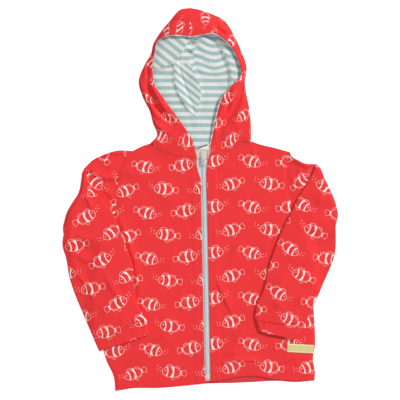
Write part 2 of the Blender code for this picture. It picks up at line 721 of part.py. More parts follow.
def zip_tape(name, surface, sign):
    """One tape, from just beside the chain's middle out under the front's edge."""

    def place(u, v, face):
        y = ZIP_BOTTOM[1] - TAPE_TAIL + (ZIP_TOP[1] - ZIP_BOTTOM[1] + TAPE_TAIL) * v
        x = zip_x(y) + sign * (GAP / 2 + TAPE_WIDTH * u)
        return x, y, FRONT_FLOOR + TAPE_THICK * face

    return cloth(name, surface, (0.0, 0.5, 1.0), stations(ZIP_STATIONS), place)


def zip_chain(surface):
    """The closed coils, as one low bar on the tapes."""
    start = ZIP_BOTTOM[1] + BOX_SIZE[1] / 2
    length = ZIP_TOP[1] - start - CHAIN_STOP

    def place(u, v, face):
        y = start + GAP + length * v
        crown = face * CHAIN_HEIGHT * (CHAIN_EDGE + (1 - CHAIN_EDGE) * math.sin(math.pi * u))
        return zip_x(y) + CHAIN_WIDTH * (u - 0.5), y, CHAIN_FLOOR + crown

    return cloth("zip_chain", surface, (0.0, 0.2, 0.5, 0.8, 1.0), stations(ZIP_STATIONS), place)


def zip_slider(surface):
    """The slider's body over the chain, and the bridge that holds its pull."""
    x, y = zip_x(SLIDER_Y), SLIDER_Y
    plate_low = CHAIN_FLOOR + CHAIN_HEIGHT + GAP
    plate_high = plate_low + SLIDER_PLATE
    bridge_low = plate_high + BRIDGE_ROOM
    half, bar, flange = SLIDER_WIDTH / 2, BRIDGE_WIDTH / 2, (SLIDER_WIDTH - CHAIN_WIDTH) / 2 - GAP
    opening = BRIDGE_HALF - BRIDGE_THICK
    plate = box("plate", surface, (x - half, y - SLIDER_LENGTH / 2, CHAIN_FLOOR),
                (x + half, y + SLIDER_LENGTH / 2, plate_high), CAST_BEVEL)
    channel = box("channel", surface, (x - half + flange, y - SLIDER_LENGTH, CHAIN_FLOOR - 1),
                  (x + half - flange, y + SLIDER_LENGTH, plate_low))
    bridge = box("bridge", surface, (x - bar, y - BRIDGE_HALF, plate_high - BRIDGE_SINK),
                 (x + bar, y + BRIDGE_HALF, bridge_low + BRIDGE_THICK), CAST_BEVEL)
    room = box("room", surface, (x - half, y - opening, plate_high), (x + half, y + opening, bridge_low), ROOM_BEVEL)
    cut(plate, channel)
    union("zip_slider", plate, [bridge])
    cut(plate, room)
    return plate_high


def zip_pull(surface, plate_high):
    """The pull tab, its eye round the slider's bridge, lying up towards the neck. It swings about its eye's bar."""
    x, y = zip_x(SLIDER_Y), SLIDER_Y
    z = plate_high + BRIDGE_ROOM / 2
    half, thick, bar = PULL_WIDTH / 2, PULL_THICK / 2, BRIDGE_WIDTH / 2 + PULL_PLAY
    hole_end = PULL_LENGTH - PULL_HOLE_FROM
    tab = box("zip_pull", surface, (-half, -thick, -thick), (half, PULL_LENGTH, thick), PULL_BEVEL)
    window = box("window", surface, (-bar, thick, -THROUGH), (bar, PULL_WINDOW, THROUGH))
    hole = box("hole", surface, (-PULL_HOLE[0] / 2, hole_end - PULL_HOLE[1], -THROUGH),
               (PULL_HOLE[0] / 2, hole_end, THROUGH), HOLE_BEVEL)
    for piece in (tab, window, hole):
        piece.location = (x * MM, y * MM, z * MM)
    cut(tab, window)
    cut(tab, hole)
    return tab


def zip_box(surface):
    """The box that holds the coils together at the hem."""
    x, y = zip_x(ZIP_BOTTOM[1]), ZIP_BOTTOM[1]
    half = np.array(BOX_SIZE) / 2
    middle = np.array((x, y, CHAIN_FLOOR + half[2]))
    return box("zip_box", surface, middle - half, middle + half, CAST_BEVEL)


def label(name, surface, size, centre, turn, floor):
    """A bare label: a thin slip lying on what floor(x, y) says, moved out by the gap."""
    c, s = math.cos(math.radians(turn)), math.sin(math.radians(turn))

    def place(u, v, face):
        across, along = (u - 0.5) * size[0], (v - 0.5) * size[1]
        x, y = centre[0] + c * across - s * along, centre[1] + s * across + c * along
        return x, y, floor(x, y) + GAP + LABEL_THICK * face

    return cloth(name, surface, *(stations(count) for count in LABEL_STATIONS), place)


def centre_on_base():
    """Moves every piece so that the middle of the whole garment's outline is over the origin."""
    shown = [piece for piece in bpy.context.scene.objects if not piece.hide_render]
    corners = np.array([piece.location + vertex.co for piece in shown for vertex in piece.data.vertices])
    middle = (corners.min(axis=0) + corners.max(axis=0)) / 2
    for piece in bpy.context.scene.objects:
        piece.location.x -= middle[0]
        piece.location.y -= middle[1]


def build():
    """Builds every piece and sets the whole down on its base, centred."""
    red = material("printed_cotton_red", RED, 0.85)
    mint = material("striped_jersey_mint", MINT, 0.9)
    aqua = material("zip_tape_aqua", AQUA, 0.7)
    coil = material("zip_coil_aqua", AQUA, 0.4)
    silver = material("zip_metal_silver", SILVER, 0.35, 1.0)
    lime = material("woven_label_lime", LIME, 0.7)
    cream = material("woven_label_cream", CREAM, 0.7)

    for name, centre, hem, neck, shoulder, side in (
        ("front_right", CENTRE_RIGHT, HEM_RIGHT, NECK_RIGHT, SHOULDER_RIGHT, SIDE_RIGHT),
        ("front_left", CENTRE_LEFT, HEM_LEFT, NECK_LEFT, SHOULDER_LEFT, SIDE_LEFT),
    ):
        top = joined(curve(neck), curve(shoulder), NECK_SHARE)
        front_panel(name, red, curve(centre), curve(hem), top, curve(side))
    body_back(red)
    for name, sleeve, outline in (("right", SLEEVE_RIGHT, SIDE_RIGHT), ("left", SLEEVE_LEFT, SIDE_LEFT)):
        low = share_at(outline, outline.index(sleeve.underarm[0]))
        side = curve(outline)
        sleeve_tube(f"sleeve_{name}", red, sleeve, lambda v, side=side, low=low: side(1 - (1 - low) * v))
        cuff_tube(f"cuff_{name}", red, sleeve)
    for name, rows, neck, sign in (("right", HOOD_RIGHT, NECK_RIGHT, -1), ("left", HOOD_LEFT, NECK_LEFT, 1)):
        section = hood_section(rows, curve(neck), sign)
        hood_piece(f"hood_{name}", red, section, 0.0, HOOD_WALL, OUTER_LEAF, ())
        hood_piece(f"hood_lining_{name}", mint, section, LINING_START, LINING_WALL, LINING_LEAF, LINING_FOLDS)
    zip_tape("zip_tape_right", aqua, -1)
    zip_tape("zip_tape_left", aqua, 1)
    zip_chain(coil)
    plate_high = zip_slider(silver)
    zip_pull(silver, plate_high)
    zip_box(silver)
    label("label_side", lime, SIDE_LABEL, SIDE_LABEL_AT, SIDE_LABEL_TURN,
          lambda x, y: front_floor(x, y, math.inf, math.inf) + FRONT_WALL + GAP)
    label("label_neck", cream, NECK_LABEL, NECK_LABEL_AT, 0.0, lambda x, y: BACK_WALL)
    centre_on_base()


for leftover in list(bpy.data.objects):
    bpy.data.objects.remove(leftover)
build()
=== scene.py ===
"""The looks of a child's hooded zip jacket, laid flat on its back with its front up.

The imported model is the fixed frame. Each cloth node is replaced by a finer sheet on the same form: printed
cotton outside, striped jersey inside the hood. The zip gets its teeth, the seams their thread and the labels
their weave.

Metres, +Z up, +Y towards the hood, +X towards the wearer's left. Tables, sizes and shapes are in millimetres
from the middle of the garment, and Workroom turns them to metres where a vertex is placed. "Left" and "right"
are the wearer's. Share means a number from 0 to 1 along a line, a width or a turn.
"""

from __future__ import annotations

import logging
import math
from dataclasses import dataclass, field
from enum import Enum
from typing import Callable, NamedTuple, Sequence

import bmesh
import bpy
import numpy as np
from mathutils import Matrix, Vector


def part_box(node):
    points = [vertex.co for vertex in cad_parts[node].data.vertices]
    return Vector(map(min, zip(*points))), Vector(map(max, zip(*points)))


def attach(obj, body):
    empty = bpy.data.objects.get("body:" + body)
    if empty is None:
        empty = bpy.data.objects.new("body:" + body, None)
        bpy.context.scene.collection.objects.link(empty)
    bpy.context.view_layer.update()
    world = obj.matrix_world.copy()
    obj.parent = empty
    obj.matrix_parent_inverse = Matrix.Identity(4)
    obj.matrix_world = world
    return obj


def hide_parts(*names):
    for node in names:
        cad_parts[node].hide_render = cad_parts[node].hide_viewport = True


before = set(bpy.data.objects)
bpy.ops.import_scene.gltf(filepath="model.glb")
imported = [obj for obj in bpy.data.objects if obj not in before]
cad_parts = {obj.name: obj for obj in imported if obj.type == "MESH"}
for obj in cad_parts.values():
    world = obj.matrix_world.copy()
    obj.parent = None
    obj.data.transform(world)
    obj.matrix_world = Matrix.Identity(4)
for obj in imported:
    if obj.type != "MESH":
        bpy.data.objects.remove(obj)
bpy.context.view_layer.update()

log = logging.getLogger("hoodie")

Array = np.ndarray
Line = Callable[[Array], Array]
Patch = Callable[[Array, Array], Array]
Printing = Callable[[Array, Array, Array], Array]
Pair = tuple[float, float]
Cells = tuple[int, int]
Socket = bpy.types.NodeSocket
Tree = bpy.types.NodeTree

MM = 0.001
GARMENT = "garment"


# ---------------------------------------------------------------- outlines, as laid out


SIDE_RIGHT = (
    (-148, -335), (-151, -309), (-163, -283), (-171, -256), (-178, -190), (-173, -127), (-166, -88),
    (-158, -57), (-150, -32), (-146, -6), (-144, 26), (-139, 55), (-131, 74), (-118, 85),
)
SIDE_LEFT = (
    (200, -316.5), (201, -303), (197.5, -279), (201, -254), (200.5, -221), (198, -186), (189, -123),
    (180, -79), (170, -39), (161, -16), (157, 8), (153, 38), (152, 61), (157, 83),
)
CENTRE_RIGHT = ((9, -321.5), (6, -193), (4, -88), (2, -1), (1, 36), (-4, 52), (-6, 64), (-5, 72))
CENTRE_LEFT = ((18.5, -319), (16, -193), (14, -88), (12, -1), (11, 34), (11.5, 55), (14, 72))
HEM_RIGHT = ((9, -321.5), (-45, -327), (-71, -329), (-121, -330), (-148, -335))
HEM_LEFT = (
    (18.5, -319), (49, -314), (66, -310), (88, -308.7), (107, -310), (126, -314), (163, -317), (200, -316.5),
)
HEM_BACK = (
    (-148, -335), (-121, -329.5), (-45, -327), (9, -322), (62, -320.5), (94, -319), (138, -317), (163, -319),
    (200, -316.5),
)
NECK_RIGHT = ((-5, 72), (-26, 75.5), (-45, 78), (-62, 83), (-75, 90), (-86, 98.5))
NECK_LEFT = ((14, 72), (28, 79), (49, 86), (63, 94), (75, 100), (89, 102))
SHOULDER_RIGHT = ((-86, 98.5), (-102, 93), (-118, 85))
SHOULDER_LEFT = ((89, 102), (105, 96.5), (128, 91), (157, 83))
BACK_TOP = (*SHOULDER_RIGHT[::-1], (-1, 88), *SHOULDER_LEFT)
CENTRE_SEAM = ((-1, 88.7), (-4, 130), (-10, 180), (-15, 225), (-16, 246))


class SleeveLines(NamedTuple):
    """The lines of a sleeve laid flat: its head, the fold where it turns back over itself, its edges."""

    outward: Pair
    cap: tuple
    underarm: tuple
    fold: tuple
    inner: tuple
    outer: tuple
    cuff_seam: tuple
    cuff_end: tuple


SLEEVE_RIGHT = SleeveLines(
    outward=(-1.0, 0.1),
    cap=((-118, 85), (-142, 86), (-170, 78), (-189, 68), (-201, 56)),
    underarm=((-158, -57), (-199, -62), (-237, -66)),
    fold=((-201, 56), (-203, 32), (-208, 10), (-217, -4), (-227, -21), (-233, -41), (-236.5, -56),
          (-237, -66)),
    inner=((-201, 56), (-196, 33), (-183, 13), (-163, -9), (-147, -34), (-140, -54), (-129.5, -80.5),
           (-118, -114), (-116, -141), (-109, -183), (-97, -203), (-91, -213)),
    outer=((-237, -66), (-240, -77), (-234, -103), (-227, -141), (-222, -156), (-203, -203), (-186, -242)),
    cuff_seam=((-91, -213), (-105, -212.5), (-121, -217), (-145, -231), (-169, -239), (-186, -242)),
    cuff_end=((-90, -235), (-105, -241), (-128, -249), (-159, -258), (-176, -265)),
)
SLEEVE_LEFT = SleeveLines(
    outward=(1.0, 0.3),
    cap=((157, 83), (160, 76), (168, 71), (183, 63.5), (203, 62)),
    underarm=((170, -39), (203, -46), (236, -48)),
    fold=((203, 62), (215, 32), (225, 11.5), (233, -10), (236.5, -28), (236, -48)),
    inner=((203, 62), (191, 36), (172.5, 6), (158.5, -22), (142.5, -54), (130.5, -84), (118.5, -121.5),
           (110, -158), (102.5, -174), (96.5, -196), (97, -211)),
    outer=((236, -48), (237.5, -78), (234.5, -100.5), (222, -132), (212.5, -153.5), (200.5, -181.5),
           (182, -217.5), (179, -223)),
    cuff_seam=((97, -211), (110, -213), (124, -215), (142, -217), (161, -215.5), (179, -223)),
    cuff_end=((103, -228), (125, -235), (146, -239), (160, -244), (169, -243)),
)


# Sections of the hood's halves from the neck to the crown: the place where each rolls over at the outline,
# the place of its rim, and the rim's height.
HOOD_RIGHT = (
    (-86, 99.2, -6, 73, 5.4),
    (-75, 113, -13, 103, 7.5),
    (-82, 133, -27, 126, 9.5),
    (-88, 155, -42, 147, 11.5),
    (-100, 179, -59, 171, 13.0),
    (-107, 207, -78, 199, 13.5),
    (-97, 235, -83, 229, 12.5),
    (-86, 254, -80, 252, 11.0),
    (-81, 273, -75, 274, 11.5),
    (-68, 294, -61, 284, 14.5),
    (-52, 313, -48, 286, 16.2),
    (-36, 331, -33, 285.5, 16.6),
    (-18, 335, -18, 284, 16.5),
)
HOOD_LEFT = (
    (89, 103.6, 14.5, 73, 5.4),
    (89, 130, 21, 110, 8.0),
    (86, 160, 28, 143, 10.5),
    (81, 185, 38, 176, 12.5),
    (78.5, 206, 58, 201, 14.0),
    (81.5, 231, 72, 221, 13.5),
    (71, 262, 62, 254, 13.5),
    (57, 292, 45, 276, 15.5),
    (42, 313, 24, 289, 16.6),
    (19, 325, 5, 287, 16.8),
    (-2, 332, -8, 284.5, 16.6),
    (-18, 335, -18, 284, 16.5),
)


class Crease(NamedTuple):
    """A ridge, or a trough where its rise is negative.

    Its path has the rise at each point. Left and right are how far it reaches, seen along the path.
    """

    path: tuple[tuple[float, float, float], ...]
    left: float
    right: float


def creases(*rows: tuple) -> tuple[Crease, ...]:
    """Creases from rows of a path and the reach to its left and right."""
    return tuple(Crease(*row) for row in rows)


FRONT_CREASES = creases(
    (((26, -128, 0.3), (32, -150, 2.5), (46, -181, 2.7), (58, -204, 0.4)), 9.3, 2.2),
    (((50, -275, 0.4), (61, -270, 2.4), (72, -265, 0.5)), 6.8, 1.6),
    (((136, -290, 0.3), (150, -283, 2.0), (164, -277, 2.2), (177, -268, 0.3)), 7.0, 1.6),
    (((24, -289, 0.7), (44, -285, 1.8), (64, -282, 2.6), (90, -282, 2.5), (112, -286, 0.3)), 6.8, 1.5),
    (((-60, -201, 0.1), (-42, -214, 1.8), (-26, -224, 0.3)), 3.4, 9.3),
    (((-78, -252, 0.1), (-62, -243, 1.4), (-44, -235, 0.1)), 7.6, 8.5),
    (((-124, -288, 0.1), (-102, -272, 1.4), (-82, -262, 0.3)), 8.5, 10.2),
    (((36, 33, 0.1), (62, 20, 1.3), (92, 6, 0.1)), 10.2, 13.6),
    (((-72, 22, 0.1), (-54, 2, 1.3), (-36, -22, 0.1)), 10.2, 13.6),
    (((72, -66, 0.1), (60, -90, 1.8), (48, -114, 0.3)), 10.2, 4.2),
    (((-38, -86, 0.1), (-52, -112, 1.4), (-62, -134, 0.3)), 10.2, 11.9),
    (((86, -228, 0.1), (72, -238, 1.6), (58, -248, 0.3)), 6.8, 9.3),
    (((93, 92, 1.2), (94, 82, 1.6), (95, 72, 0.1)), 3.0, 5.1),
    (((33, 62, 0.1), (46, 57, 1.3), (60, 52, 0.1)), 5.1, 7.6),
    (((-94, 64, 0.1), (-78, 56, 1.3), (-64, 47, 0.1)), 6.0, 7.6),
    (((-132, 52, 0.3), (-120, 46, 1.2), (-104, 44, 0.1)), 4.2, 6.8),
    (((-36, 64, -0.1), (-60, 68, -1.0), (-84, 78, -0.3)), 5.1, 5.1),
    (((30, -240, 0.1), (52, -228, 1.2), (80, -222, 0.1)), 6.8, 10.2),
    (((150, -270, 0.1), (168, -276, 1.0), (188, -272, 0.1)), 5.1, 7.6),
    (((-20, -292, 0.1), (-50, -287, 0.9), (-84, -290, 0.1)), 6.8, 6.8),
    (((-24, -148, 0.1), (-34, -172, 1.0), (-30, -196, 0.1)), 8.5, 10.2),
    (((-144, -27, 0.8), (-135.5, -51, 3.0), (-125.5, -78, 2.6), (-114, -112, 3.0), (-111.5, -142, 2.4),
            (-104.5, -182, 0.8)), 9.0, 2.2),
)
HEAD_CREASES = creases(
    (((-203, 55.7, 0.8), (-188.6, 48, 2.8), (-177, 38.2, 4.4), (-163.3, 35.4, 4.8), (-144, 35.9, 4.0),
            (-136, 40.1, 0.8)), 8.0, 1.7),
    (((-178, 27, 0.6), (-166, 17, 2.4), (-156, 6, 2.6), (-150, -4, 1.0)), 8.0, 2.4),
    (((-178, 72, 0.4), (-162, 78, 2.2), (-148, 80.5, 2.8), (-133, 80, 1.0)), 4.0, 1.7),
    (((-142, 52, 0.6), (-132, 56, 2.2), (-124, 60, 0.6)), 5.0, 1.6),
    (((156, 82, 0.8), (160, 74, 3.2), (169, 68.5, 4.0), (182, 61.5, 3.6), (198, 60, 1.0)), 3.0, 5.6),
    (((170, 38, 0.6), (174, 50, 2.1), (178, 58, 0.4)), 3.4, 3.4),
    (((156, 40, 0.4), (166, 34, 1.7), (178, 20, 0.2)), 3.4, 5.1),
)
SLEEVE_CREASES = creases(
    (((-201, 12, 0.1), (-198, 3, 2.4), (-193, -7, 2.4), (-187, -21, 0.2)), 5.1, 2.2),
    (((-224, -58, 0.5), (-200, -66, 2.2), (-174, -73, 0.2)), 6.8, 10.2),
    (((-168, -128, 0.2), (-156, -150, 2.2), (-142, -172, 1.8), (-130, -190, 0.2)), 8.5, 3.4),
    (((-222, -118, 0.4), (-210, -136, 2.6), (-196, -154, 2.4), (-184, -178, 0.3)), 7.0, 2.4),
    (((-176, -199, 0.3), (-162, -192, 1.9), (-148, -189, 0.2)), 5.1, 7.6),
    (((-232, -24, 0.5), (-214, -36, 1.7), (-190, -42, 0.2)), 5.1, 6.8),
    (((-231, -88, 0.3), (-217, -98, 2.2), (-200, -106, 2.0), (-180, -104, 0.2)), 7.0, 3.0),
    (((-126, -118, 0.2), (-132, -140, 1.4), (-128, -168, 0.2)), 6.0, 7.6),
    (((-122, -196, 0.2), (-134, -208, 1.6), (-140, -222, 0.5)), 4.2, 6.0),
    (((228, -28, 0.3), (214, -40, 2.0), (196, -53, 0.2)), 6.0, 7.6),
    (((214, -94, 0.3), (194, -104, 2.0), (174, -113, 0.2)), 6.8, 10.2),
    (((152, -116, 0.2), (142, -140, 1.9), (134, -164, 0.2)), 8.5, 10.2),
    (((190, -157, 0.3), (177, -173, 2.0), (164, -189, 0.3)), 6.0, 8.5),
    (((126, -176, 0.2), (138, -184, 1.9), (148, -191, 0.2)), 5.1, 6.8),
    (((216, 12, 0.3), (210, 0, 2.0), (204, -11, 0.2)), 4.2, 6.0),
    (((168, -28, 0.2), (176, -48, 1.6), (172, -72, 0.2)), 6.8, 8.5),
    (((222, -62, 0.3), (206, -72, 1.6), (188, -76, 0.2)), 5.1, 7.6),
    (((-214, -6, 0.4), (-223, -42, 2.4), (-228, -74, 2.8), (-221, -112, 2.2), (-208, -146, 0.4)),
     9.0, 6.5),
)
HOOD_CREASES = creases(
    (((-95, 205, -1.0), (-91, 190, -3.6), (-87, 179.6, -4.6), (-82, 170, -5.0), (-76, 160, -5.4),
            (-66.5, 148.6, -5.4), (-58.3, 138.8, -4.6), (-48, 130, -1.2)), 4.6, 1.9),
    (((-88, 242, -0.6), (-92.7, 230, -2.8), (-92, 213, -4.0), (-91, 201, -3.0)), 4.0, 2.2),
    (((-104, 203, 1.0), (-96, 184, 3.2), (-89, 168, 3.4), (-80, 152, 2.8), (-68, 138, 0.8)), 3.8, 4.0),
    (((-90, 214, 0.8), (-79, 188, 3.4), (-66, 165, 3.8), (-54, 149, 2.4), (-42, 134, 0.4)), 5.0, 3.6),
    (((-84, 136, 1.0), (-72, 126, 4.4), (-60, 117, 4.2), (-50, 114, 0.8)), 8.0, 1.8),
    (((-86, 108, 0.2), (-72, 105, 1.1), (-58, 104, 0.2)), 2.0, 6.0),
    (((-92, 150, -0.4), (-84, 132, -2.4), (-80, 122, -0.6)), 3.0, 4.0),
    (((-60, 124, 0.2), (-50, 110, 1.6), (-38, 98, 0.1)), 8.0, 9.0),
    (((54, 199, -1.0), (51, 184, -4.4), (48, 171.5, -4.8), (46.5, 160, -3.4), (45, 150, -0.4)),
     3.4, 1.9),
    (((77, 202, -1.2), (72, 189, -3.0), (68, 176.4, -3.6), (60.2, 164, -3.8), (53.4, 148.6, -3.8),
            (45, 136, -4.2), (36, 124, -4.2), (32.6, 107, -3.2), (35, 90, -0.8)), 4.4, 2.2),
    (((54, 110, 0.4), (60, 134, 2.6), (70, 158, 2.6), (78, 182, 0.6)), 3.0, 6.0),
    (((52, 150, 0.4), (57, 168, 2.4), (63, 186, 0.8)), 3.0, 3.4),
    (((26, 106, 0.4), (30, 134, 2.6), (39, 158, 2.4), (44, 180, 0.8)), 4.0, 2.6),
    (((52, 100, -0.3), (60, 122, -2.2), (62, 136, -0.2)), 4.0, 3.4),
    (((62, 100, 0.3), (76, 104, 2.4), (88, 112, 0.2)), 3.0, 4.0),
    (((-46, 312, -0.6), (-34, 311, -3.4), (-22, 313, -0.4)), 2.0, 4.5),
    (((30, 304, 0.1), (46, 296, 2.4), (56, 280, 0.1)), 5.0, 6.0),
    (((22, 307, -0.3), (26, 300, -2.6), (40, 290, -3.4), (45, 283, -0.6)), 3.4, 2.2),
    (((-30, 296, 0.2), (-10, 300, 1.8), (12, 296, 0.1)), 4.0, 6.0),
    (((-22, 322, 0.2), (4, 316, 2.2), (24, 304, 0.1)), 4.0, 6.0),
    (((-62, 298, 0.2), (-48, 301, 2.2), (-30, 303, 0.1)), 3.0, 5.0),
    (((-96, 214, 0.1), (-97, 226, 1.8), (-92, 240, 0.1)), 3.0, 4.0),
    (((-58, 300, 0.1), (-66, 286, 1.9), (-74, 268, 0.1)), 4.0, 5.0),
    (((72, 244, 0.1), (76, 226, 1.9), (74, 208, 0.1)), 4.0, 5.0),
)
# The lining's own folds, seen through the hood's mouth. The first is the crisp edge of the turned flap at the
# wearer's upper right, the second that of the turned facing at the upper left.
FLAP_EDGE = ((-14, 287), (-28.5, 260.6), (-37, 246.6), (-56.5, 233.8), (-72, 228))
FACING_EDGE = ((33, 272), (45.5, 246.6), (51.5, 228.6), (53.6, 202), (50, 192))
STRIP_LEFT = ((-45.5, 241), (-44.5, 205), (-37, 183), (-23, 160), (-7, 141))
STRIP_DARK = ((-37, 250), (-34.5, 220), (-23, 188), (-10.5, 153))
STRIP_RIGHT = ((-20, 244), (-12, 226), (-2.5, 205), (2.5, 181), (-6, 156), (-6.5, 108))
LINING_CREASES = creases(
    (tuple((*at, rise) for at, rise in zip(FLAP_EDGE, (6.5, 7.0, 6.5, 5.4, 4.0))), 1.5, 46),
    (tuple((*at, rise) for at, rise in zip(FACING_EDGE, (3.5, 5.0, 5.2, 4.4, 1.5))), 34, 1.5),
    (tuple((*at, rise) for at, rise in zip(STRIP_LEFT, (2.4, 3.0, 3.0, 2.6, 1.0))), 14, 1.6),
    (tuple((*at, rise) for at, rise in zip(STRIP_DARK, (-1.0, -3.0, -3.0, -1.6))), 3.0, 1.6),
    (tuple((*at, rise) for at, rise in zip(STRIP_RIGHT, (1.4, 2.6, 2.8, 2.6, 2.0, 0.6))), 5, 12),
    (((20, 238, 0.4), (30, 224, 2.4), (40, 208, 0.6)), 12, 10),
    (((-10, 282, -1.0), (-18, 262, -2.2), (-27, 247, -1.6)), 4, 6),
    (((-14, 279, 2.5), (-4, 271, 4.8), (8, 264, 2.0)), 5, 2.0),
    (((-8, 287, 3.0), (5, 280, 4.8), (17, 273, 2.0)), 5, 2.0),
    (((-22, 264, 2.5), (-12, 257, 4.2), (1, 251, 1.5)), 5, 2.0),
    (((-4, 256, 0.6), (8, 262, 2.6), (24, 260, 0.6)), 4, 9),
    (((6, 250, 0.4), (18, 242, 2.2), (32, 246, 0.8)), 6, 9),
    (((8, 196, 0.2), (14, 172, 1.8), (22, 148, 0.4)), 12, 12),
    (((-64, 206, 0.2), (-56, 186, 1.4), (-48, 172, 0.3)), 9, 10),
    (((-10, 236, 0.4), (6, 224, 2.2), (28, 218, 0.6)), 7, 9),
    (((-30, 150, 0.1), (-20, 132, 1.0), (-12, 112, 0.2)), 6, 6),
)


# ---------------------------------------------------------------- lines, patches and folds


ROUNDNESS = 0.8  # the power of a sine that makes its flanks fuller
FAR = 1e3  # further than anything on the garment


def shares(count: int) -> Array:
    """Evenly spaced shares from 0 to 1."""
    return np.linspace(0.0, 1.0, count)


def lengths(path: Array) -> Array:
    """How far along a path its points are."""
    return np.concatenate([[0.0], np.cumsum(np.linalg.norm(np.diff(path, axis=0), axis=1))])


def apart(a: Array, b: Array) -> Array:
    """How far apart places are, row by row."""
    return np.linalg.norm(a - b, axis=1)


def spline(at: Array, knots: Array) -> Line:
    """A smooth line that reaches each knot at its share.

    Args:
        at: the knots' shares.
        knots: what it passes, a row each.

    Returns:
        A function that gives its rows at shares.
    """
    slopes = np.gradient(knots, at, axis=0)

    def place(share: Array) -> Array:
        """The rows at shares, which are kept between 0 and 1."""
        t = np.clip(np.asarray(share, float), 0.0, 1.0)
        i = np.clip(np.searchsorted(at, t, "right") - 1, 0, len(at) - 2)
        span = (at[i + 1] - at[i])[:, None]
        s = (t - at[i])[:, None] / span
        return (
            (2 * s**3 - 3 * s**2 + 1) * knots[i]
            + (s**3 - 2 * s**2 + s) * span * slopes[i]
            + (3 * s**2 - 2 * s**3) * knots[i + 1]
            + (s**3 - s**2) * span * slopes[i + 1]
        )

    return place


def smooth_line(points: Sequence[Sequence[float]]) -> Line:
    """A smooth line through points, as a function of the share of its length."""
    knots = np.array(points, float)
    at = lengths(knots)
    return spline(at / at[-1], knots)


def joined(first: Line, second: Line, share: float) -> Line:
    """One line made of two, the first taking this share of the whole."""

    def place(t: Array) -> Array:
        """The places at shares."""
        t = np.asarray(t, float)
        early = t < share
        return np.where(early[:, None], first(t / share), second((t - share) / (1 - share)))

    return place


def patch(near: Line, far: Line, start: Line, end: Line) -> Patch:
    """A four-sided piece from its edge lines.

    Args:
        near: the line at v = 0, along which u runs.
        far: the line at v = 1, along which u runs.
        start: the line at u = 0, along which v runs.
        end: the line at u = 1, along which v runs.

    Returns:
        A function of u and v that gives places.
    """
    ends = np.array([0.0, 1.0])
    (a, b), (c, d) = near(ends), far(ends)

    def place(u: Array, v: Array) -> Array:
        """The places at u and v."""
        u_, v_ = np.asarray(u, float)[:, None], np.asarray(v, float)[:, None]
        ruled = (1 - v_) * near(u) + v_ * far(u) + (1 - u_) * start(v) + u_ * end(v)
        return ruled - (1 - v_) * ((1 - u_) * a + u_ * b) - v_ * ((1 - u_) * c + u_ * d)

    return place


def eased(t: Array) -> Array:
    """A soft step from 0 to 1 while t goes from 0 to 1."""
    t = np.clip(t, 0.0, 1.0)
    return t * t * (3 - 2 * t)


def near_start(t: Array, part: float) -> Array:
    """1 at 0 and below, softly down to 0 over this part."""
    return 1 - eased(t / part)


def near_end(share: Array, part: float) -> Array:
    """0 until the last part of a share, then softly up to 1."""
    return eased((share - (1 - part)) / part)


def bell(off: Array, reach: Array | float) -> Array:
    """1 at 0, softly down to almost nothing at twice the reach on either side."""
    return np.exp(-((off / reach) ** 2))


def beside(at: Array, a: Sequence[float], b: Sequence[float]) -> tuple[Array, Array, Array]:
    """Where places are, seen from a straight stretch.

    Args:
        at: the places, a row each.
        a: the stretch's start.
        b: the stretch's end.

    Returns:
        Each place's distance from the stretch, the share of the stretch it is beside, and True where it is on
        the left.
    """
    start, along = np.array(a[:2], float), np.array(b[:2], float) - np.array(a[:2], float)
    offset = at - start
    share = np.clip(offset @ along / (along @ along), 0.0, 1.0)
    away = apart(offset, share[:, None] * along)
    return away, share, along[0] * offset[:, 1] - along[1] * offset[:, 0] > 0


def relief(creases: Sequence[Crease], at: Array, spread: float = 1.0) -> Array:
    """How far creases raise the cloth: the highest ridge and the deepest trough that reach each place.

    Args:
        creases: the creases.
        at: the places, a row each.
        spread: how much wider than written they are, as on a layer that lies further in.

    Returns:
        The height at each place.
    """
    high, low = np.zeros(len(at)), np.zeros(len(at))
    for crease in creases:
        nearest = np.full(len(at), np.inf)
        rise = np.zeros(len(at))
        for a, b in zip(crease.path, crease.path[1:]):
            away, share, left = beside(at, a, b)
            reach = np.where(left, crease.left, crease.right) * spread
            height = (a[2] + (b[2] - a[2]) * share) * bell(away, reach)
            closer = away < nearest
            nearest = np.where(closer, away, nearest)
            rise = np.where(closer, height, rise)
        high, low = np.maximum(high, rise), np.minimum(low, rise)
    return high + low


def ripple(at: Array, seed: int, length: float, rise: float) -> Array:
    """A soft unevenness, as of cloth that was worn and washed.

    Args:
        at: the places, a row each.
        seed: picks the waves.
        length: about how long they are.
        rise: about how high they are.

    Returns:
        The height at each place, up or down.
    """
    dice = np.random.default_rng(seed)
    total = np.zeros(len(at))
    waves = 9
    for _ in range(waves):
        turn, start = dice.uniform(0, 2 * math.pi, 2)
        step = length * dice.uniform(0.7, 1.5)
        total += np.sin((at @ np.array([math.cos(turn), math.sin(turn)])) * 2 * math.pi / step + start)
    return rise * total / math.sqrt(waves)


def outside(outline: Array, at: Array) -> Array:
    """How far places are outside a closed outline.

    Args:
        outline: its corners, a row each.
        at: the places, a row each.

    Returns:
        The distance of each place, 0 within the outline.
    """
    within = np.zeros(len(at), bool)
    nearest = np.full(len(at), np.inf)
    for a, b in zip(outline, np.roll(outline, -1, axis=0)):
        if np.array_equal(a, b):
            continue
        crosses = (a[1] > at[:, 1]) != (b[1] > at[:, 1])
        rise = b[1] - a[1]
        if rise:
            within ^= crosses & (at[:, 0] < a[0] + (b[0] - a[0]) * (at[:, 1] - a[1]) / rise)
        nearest = np.minimum(nearest, beside(at, a, b)[0])
    return np.where(within, 0.0, nearest)


def turned(at: Array, degrees: float, shift: Pair = (0.0, 0.0)) -> Array:
    """Places turned about the origin, then shifted."""
    c, s = math.cos(math.radians(degrees)), math.sin(math.radians(degrees))
    return at[:, :2] @ np.array([[c, s], [-s, c]]) + np.array(shift)


# ---------------------------------------------------------------- drawing with nodes


